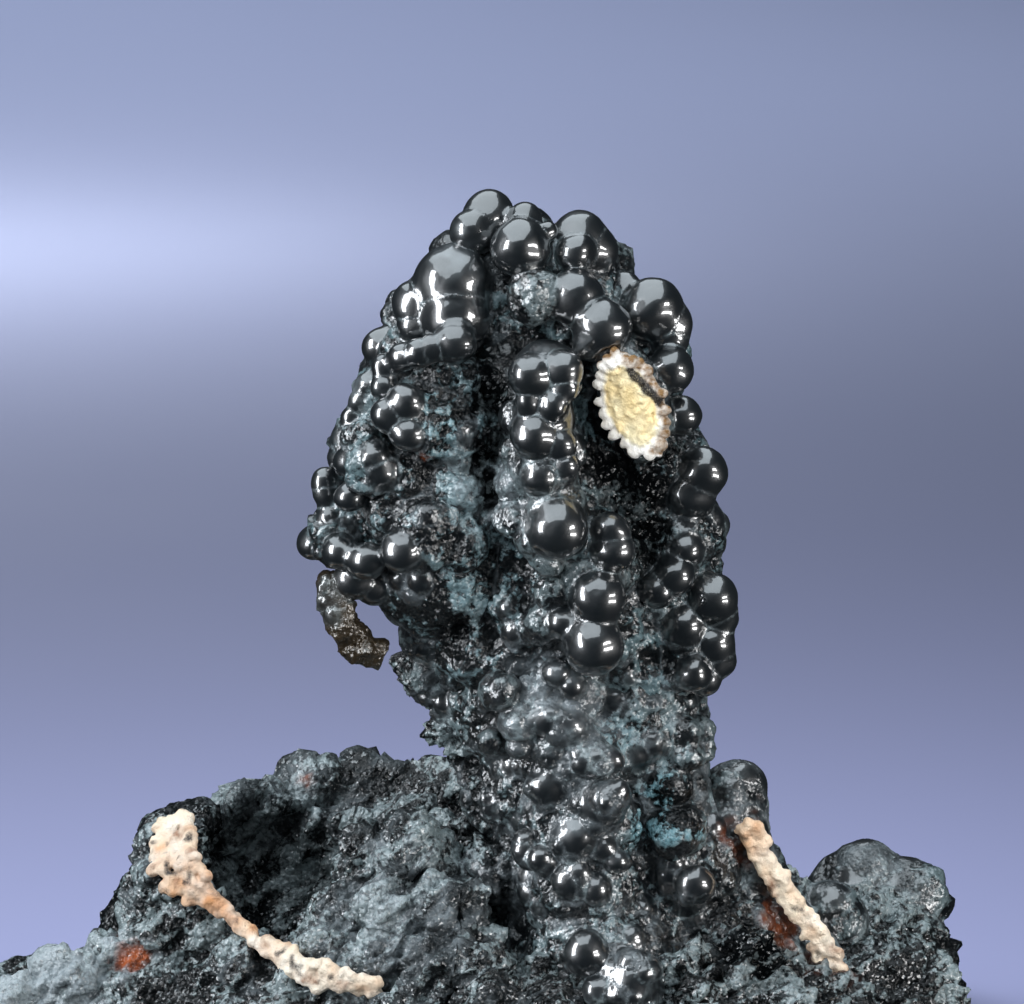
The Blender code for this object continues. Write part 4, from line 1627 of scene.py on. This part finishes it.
@dataclass(frozen=True)
class SoftBox:
    """A soft light on the specimen, placed by the way it is seen from there.

    Attributes:
        lamp: The light.
        toward: The way to it: right, up and towards the camera.
        distance: How far it stands in metres.
        roll: How far it is turned in its own plane, in degrees.
        only: Names of the pieces it falls on; empty for all.
    """

    lamp: Lamp
    toward: Place
    distance: float
    roll: float = 0.0
    only: tuple[str, ...] = ()

    def place(self, target: Vector, lit: bpy.types.Collection) -> None:
        """Hangs the light facing the specimen.

        Args:
            target: The middle of the specimen in metres.
            lit: The pieces it falls on.
        """
        right, up, near = self.toward
        way = (Vector((1.0, 0.0, 0.0)) * right + VIEW_UP * up + VIEW_BACK * near).normalized()
        turn = (-way).to_track_quat("-Z", "Y") @ Quaternion((0.0, 0.0, 1.0), math.radians(self.roll))
        self.lamp.hang(target + way * self.distance, turn, lit)


@dataclass
class Studio:
    """The pale floor, the soft lights and the camera.

    Attributes:
        target: The middle of the view in mm: x, seen, y.
        camera_distance: How far the camera stands in metres.
        lens: Its focal length in mm.
        sensor: Width of its sensor in mm.
        floor_size: Width of the floor in metres.
        paint: The floor's colour.
        sky: Colour of the dim surroundings.
        sky_strength: How bright they are.
        boxes: The soft lights on the specimen.
        washes: Lights that hang face down over the floor, with their places in metres.
    """

    target: Place = (5.2, 50.2, 0.0)
    camera_distance: float = 0.751
    lens: float = 264.0
    sensor: float = 36.0
    floor_size: float = 6.0
    paint: str = "#a3a8cc"
    sky: str = "#8c98a4"
    sky_strength: float = 0.07
    boxes: Sequence[SoftBox] = (
        SoftBox(Lamp("softbox_left", (0.22, 0.5), 13.0, "#f4f9ff"), (-0.84, 0.2, 0.5), 0.6, roll=12.0),
        SoftBox(Lamp("strip_right_upper", (0.2, 0.08), 14.0), (0.79, 0.12, 0.55), 0.5, roll=-8.0),
        SoftBox(Lamp("strip_right_lower", (0.1, 0.036), 14.0), (0.84, -0.26, 0.48), 0.22, roll=-8.0),
        SoftBox(Lamp("overhead", (1.4, 1.0), 2.2, "#e4f0f8"), (-0.15, 0.95, 0.22), 0.7),
        SoftBox(Lamp("front_fill", (0.8, 0.8), 0.9, "#eef6ff", mirrored=False), (0.45, 0.2, 0.87), 0.7),
        SoftBox(
            Lamp("column_fill", (0.5, 0.5), 2.6, "#eef6ff", mirrored=False),
            (-0.3, 0.1, 0.95),
            0.7,
            only=("head_front", "knobbly_stalk"),
        ),
        SoftBox(
            Lamp("broken_face_fill", (0.2, 0.2), 12.0, "#fff8ec"),
            (-0.3, 0.15, 0.95),
            0.6,
            only=("snapped_face", "broken_edge_right"),
        ),
    )
    washes: Sequence[tuple[Lamp, Place]] = (
        (Lamp("floor_band", (0.4, 0.04), 3.0, "#faffef"), (-0.22, 0.48, 0.08)),
        (Lamp("floor_band_soft", (0.3, 0.05), 7.3, "#eef2f8"), (-0.2, 0.46, 0.16)),
        (Lamp("floor_far", (0.5, 0.3), 3.8, "#eefaff"), (-0.2, 0.85, 0.4)),
        (Lamp("floor_right", (0.5, 0.1), 1.2, "#eefaff"), (0.1, 0.62, 0.2)),
        (Lamp("floor_near", (0.34, 0.1), 7.2, "#ecf1ff"), (-0.04, 0.0, 0.22)),
    )

    def build(self, pieces: Sequence[Thing]) -> None:
        """Sets up the floor, lights, surroundings and camera.

        Args:
            pieces: The specimen's pieces.
        """
        target = stand(*self.target) * MM
        self.light(pieces, self.lay_floor(), target)
        self.dim_room()
        self.set_camera(target)
        LOG.info("studio: floor, %d lights and camera", len(self.boxes) + len(self.washes))

    def lay_floor(self) -> Thing:
        """Lays the floor, which the specimen neither reflects nor is lit by.

        Returns:
            The floor.
        """
        shape = bmesh.new()
        bmesh.ops.create_grid(shape, x_segments=24, y_segments=24, size=self.floor_size / 2)
        floor = from_shape("studio_floor", shape)
        floor.data.materials.append(MattPaint(self.paint).material())
        floor.visible_glossy = False
        floor.visible_diffuse = False
        return floor

    def light(self, pieces: Sequence[Thing], floor: Thing, target: Vector) -> None:
        """Hangs the soft lights on the specimen and the washes over the floor.

        Args:
            pieces: The specimen's pieces.
            floor: The floor.
            target: The middle of the specimen in metres.
        """
        floor_lit = bpy.data.collections.new("floor_lit")
        floor_lit.objects.link(floor)
        for box in self.boxes:
            lit = bpy.data.collections.new(f"{box.lamp.name}_lit")
            for piece in pieces:
                if piece.name in box.only or not box.only:
                    lit.objects.link(piece)
            box.place(target, lit)
        for lamp, spot in self.washes:
            lamp.hang(Vector(spot), Quaternion(), floor_lit)

    def dim_room(self) -> None:
        """Gives the surroundings a dim even light."""
        world = bpy.data.worlds.new("studio")
        world.use_nodes = True
        background = world.node_tree.nodes["Background"]
        background.inputs["Color"].default_value = linear(self.sky)
        background.inputs["Strength"].default_value = self.sky_strength
        bpy.context.scene.world = world

    def set_camera(self, target: Vector) -> None:
        """Points the camera as in the photograph.

        Args:
            target: The middle of the view in metres.
        """
        camera = bpy.data.cameras.new("camera")
        camera.lens = self.lens
        camera.sensor_width = self.sensor
        eye = bpy.data.objects.new("camera", camera)
        bpy.context.scene.collection.objects.link(eye)
        eye.location = target + VIEW_BACK * self.camera_distance
        eye.rotation_mode = "QUATERNION"
        eye.rotation_quaternion = (-VIEW_BACK).to_track_quat("-Z", "Y")
        bpy.context.scene.camera = eye
        bpy.context.scene.view_settings.view_transform = "Standard"


SECTION_AT = stand(17.2, 60.0, -9.6)
SECTION_FACING = Vector((-0.28, -0.94, -0.16)).normalized()
SECTION_LONG = Vector((0.32, 0.0, -0.95))
SECTION_LONG = (SECTION_LONG - SECTION_FACING * SECTION_LONG.dot(SECTION_FACING)).normalized()

LEFT_RIM_PATH = [
    (-29.2, 18.2, 3.6, 1.9), (-29.2, 15.8, 0.4, 2.3), (-28.8, 13.4, -2.0, 2.7), (-27.0, 11.8, -3.0, 2.2),
    (-24.8, 10.0, -3.6, 0.8), (-22.4, 8.0, -5.0, 0.4), (-19.8, 6.0, -7.4, 0.6), (-17.0, 4.4, -9.7, 1.3),
    (-14.6, 3.3, -11.3, 1.7), (-11.4, 2.4, -12.5, 1.1), (-8.0, 1.9, -13.2, 0.8),
]
LEFT_RIM_WARM = [0.1, 0.35, 0.6, 0.5, 1.0, 0.7, 0.4, 0.1, 0.1, 0.2, 0.2]
RIGHT_EDGE_PATH = [
    (28.4, 17.8, -3.6, 1.4), (29.9, 15.9, -3.7, 1.2), (31.4, 13.2, -3.7, 1.0), (33.2, 10.4, -3.8, 1.1),
    (35.0, 7.8, -3.9, 1.1), (36.6, 5.2, -4.0, 1.2), (38.4, 2.6, -4.1, 1.1), (40.0, 0.4, -4.1, 1.0),
]
RIGHT_EDGE_WARM = [0.5, 0.3, 0.1, 0.1, 0.1, 0.1, 0.1, 0.1]


# The head is parted at HEAD_PLANE and the base at BASE_PLANE, mm. Neighbours overlap a little.
HEAD_PLANE = 0.5
BASE_PLANE = 16.0
RIGHTWARD, BACKWARD, FRONTWARD, LEFTWARD = (
    (1.0, 0.0, 0.0), (0.0, 1.0, 0.0), (0.0, -1.0, 0.0), (-1.0, 0.0, 0.0)
)


def specimen_pieces() -> list[tuple[Any, Any]]:
    """The pieces of the specimen with their finishes, in building order.

    Returns:
        Pairs of a sub-assembly and the finish it is dressed with.
    """
    crust = GoethiteCrust()
    oval = PaleFibre("broken_fibres", "#faf0cc", "#f2d698", "#fdfbf7", "#7a5a30")
    strip = PaleFibre("broken_crust_edge", "#ecdac0", "#d89458", "#f2eadc", "#8a5a38")
    head_hosts = HEAD_MASS + LEFT_LOBES + REAR_HEAD.rows()
    stalk_hosts = STALK_MASS + REAR_STALK.rows() + STALK_EDGE
    slope_hosts = BASIN_RIM + SLOPE_LUMPS + LEFT_FOOT + REAR_BASE.rows()
    flank_hosts = RIGHT_FLANK + RIGHT_REAR
    head = SnappedCluster(
        "head_front",
        [
            (HEAD_MASS, Skin.DRUSY),
            (LEFT_LOBES, Skin.DRUSY),
            (REAR_HEAD.rows(), Skin.SATIN),
            (HEAD_DULL, Skin.SATIN),
            (CROWN, Skin.GLOSSY),
            (LEFT_SHOULDER, Skin.GLOSSY),
            (LEFT_SIDE, Skin.GLOSSY),
            (HOOK_TOP, Skin.GLOSSY),
            (HOOK, Skin.BRONZE),
            (CENTRE_CHAIN, Skin.GLOSSY),
            (CENTRE_DULL, Skin.SATIN),
            (RIGHT_SIDE, Skin.GLOSSY),
            (BROKEN_STUB, Skin.SATIN),
            (Sprinkle(420, (0.6, 1.7), 201).rows(head_hosts), Skin.GLOSSY),
            (Sprinkle(260, (0.6, 1.4), 202).rows(head_hosts), Skin.SATIN),
        ],
        voxel=0.27,
        fillet=0.3,
        seed=31,
        cuts=[((0.0, HEAD_PLANE + 0.15, 0.0), BACKWARD)],
        at_point=SECTION_AT,
        facing=SECTION_FACING,
        long_way=SECTION_LONG,
    )
    stalk = Crust(
        "knobbly_stalk",
        [
            (STALK_MASS, Skin.KNOBBY),
            (REAR_STALK.rows(), Skin.SATIN),
            (STALK_EDGE, Skin.CRUMBLY),
            (STALK_BALLS, Skin.GLOSSY),
            (STALK_DULL, Skin.SATIN),
            (Sprinkle(420, (0.5, 1.5), 211).rows(stalk_hosts), Skin.GLOSSY),
            (Sprinkle(70, (0.7, 1.5), 213, sunk=0.4).rows(STALK_BALLS), Skin.GLOSSY),
            (Sprinkle(110, (0.9, 2.0), 214).rows(STALK_MASS), Skin.GLOSSY),
            (Sprinkle(420, (0.5, 1.3), 212).rows(stalk_hosts), Skin.SATIN),
        ],
        voxel=0.31,
        fillet=0.22,
        seed=81,
    )
    base = SawnBase(
        "base_left",
        [
            (BASE_MASS, Skin.CRUMBLY),
            (SLOPE_LUMPS, Skin.CRUMBLY),
            (BASIN_RIM, Skin.CRUMBLY),
            (LEFT_FOOT, Skin.CRUMBLY),
            (RIGHT_FLANK, Skin.KNOBBY),
            (RIGHT_REAR, Skin.KNOBBY),
            (RING_BASE.rows(), Skin.CRUMBLY),
            (REAR_BASE.rows(), Skin.CRUMBLY),
            (Sprinkle(500, (0.5, 1.2), 221, floor=4.0).rows(slope_hosts), Skin.CRUMBLY),
            (Sprinkle(200, (0.6, 1.6), 222, floor=4.0).rows(flank_hosts), Skin.GLOSSY),
        ],
        voxel=0.35,
        fillet=0.5,
        seed=101,
        streak=(0.6, 0.1, 0.5),
        cuts=[((0.1, 0.0, 0.0), RIGHTWARD), ((0.0, BASE_PLANE + 0.1, 0.0), BACKWARD)],
    )
    right_cuts = [((-0.1, 0.0, 0.0), LEFTWARD), ((0.0, BASE_PLANE + 0.1, 0.0), BACKWARD)]
    head_rear_cuts = [((0.0, HEAD_PLANE - 0.15, 0.0), FRONTWARD)]
    base_rear_cuts = [((0.0, BASE_PLANE - 0.1, 0.0), FRONTWARD)]
    return [
        (head, crust),
        (replace(head, name="head_rear", voxel=0.44, cuts=head_rear_cuts), crust),
        (stalk, crust),
        (base, crust),
        (replace(base, name="base_right", cuts=right_cuts), crust),
        (replace(base, name="base_rear", voxel=0.62, cuts=base_rear_cuts), crust),
        (SnappedFace("snapped_face", SECTION_AT + SECTION_FACING * 0.6, SECTION_FACING, SECTION_LONG), oval),
        (BrokenRim("broken_rim_left", LEFT_RIM_PATH, LEFT_RIM_WARM), strip),
        (BrokenRim("broken_edge_right", RIGHT_EDGE_PATH, RIGHT_EDGE_WARM, thickness=0.7, seed=25), strip),
    ]


def main() -> None:
    """Builds and dresses the specimen, then sets up the studio."""
    logging.basicConfig(level=logging.INFO, format="%(name)s: %(message)s")
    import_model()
    materials: dict[Any, bpy.types.Material] = {}
    pieces = []
    for assembly, finish in specimen_pieces():
        piece = assembly.build()
        pieces.append(piece)
        if finish not in materials:
            materials[finish] = finish.material()
        piece.data.materials.clear()
        piece.data.materials.append(materials[finish])
        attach(piece, BODY)
        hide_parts(NODE)
        piece.data.calc_loop_triangles()
        LOG.info("%s: %d triangles", piece.name, len(piece.data.loop_triangles))
    Studio().build(pieces)


if __name__ == "__main__":
    main()
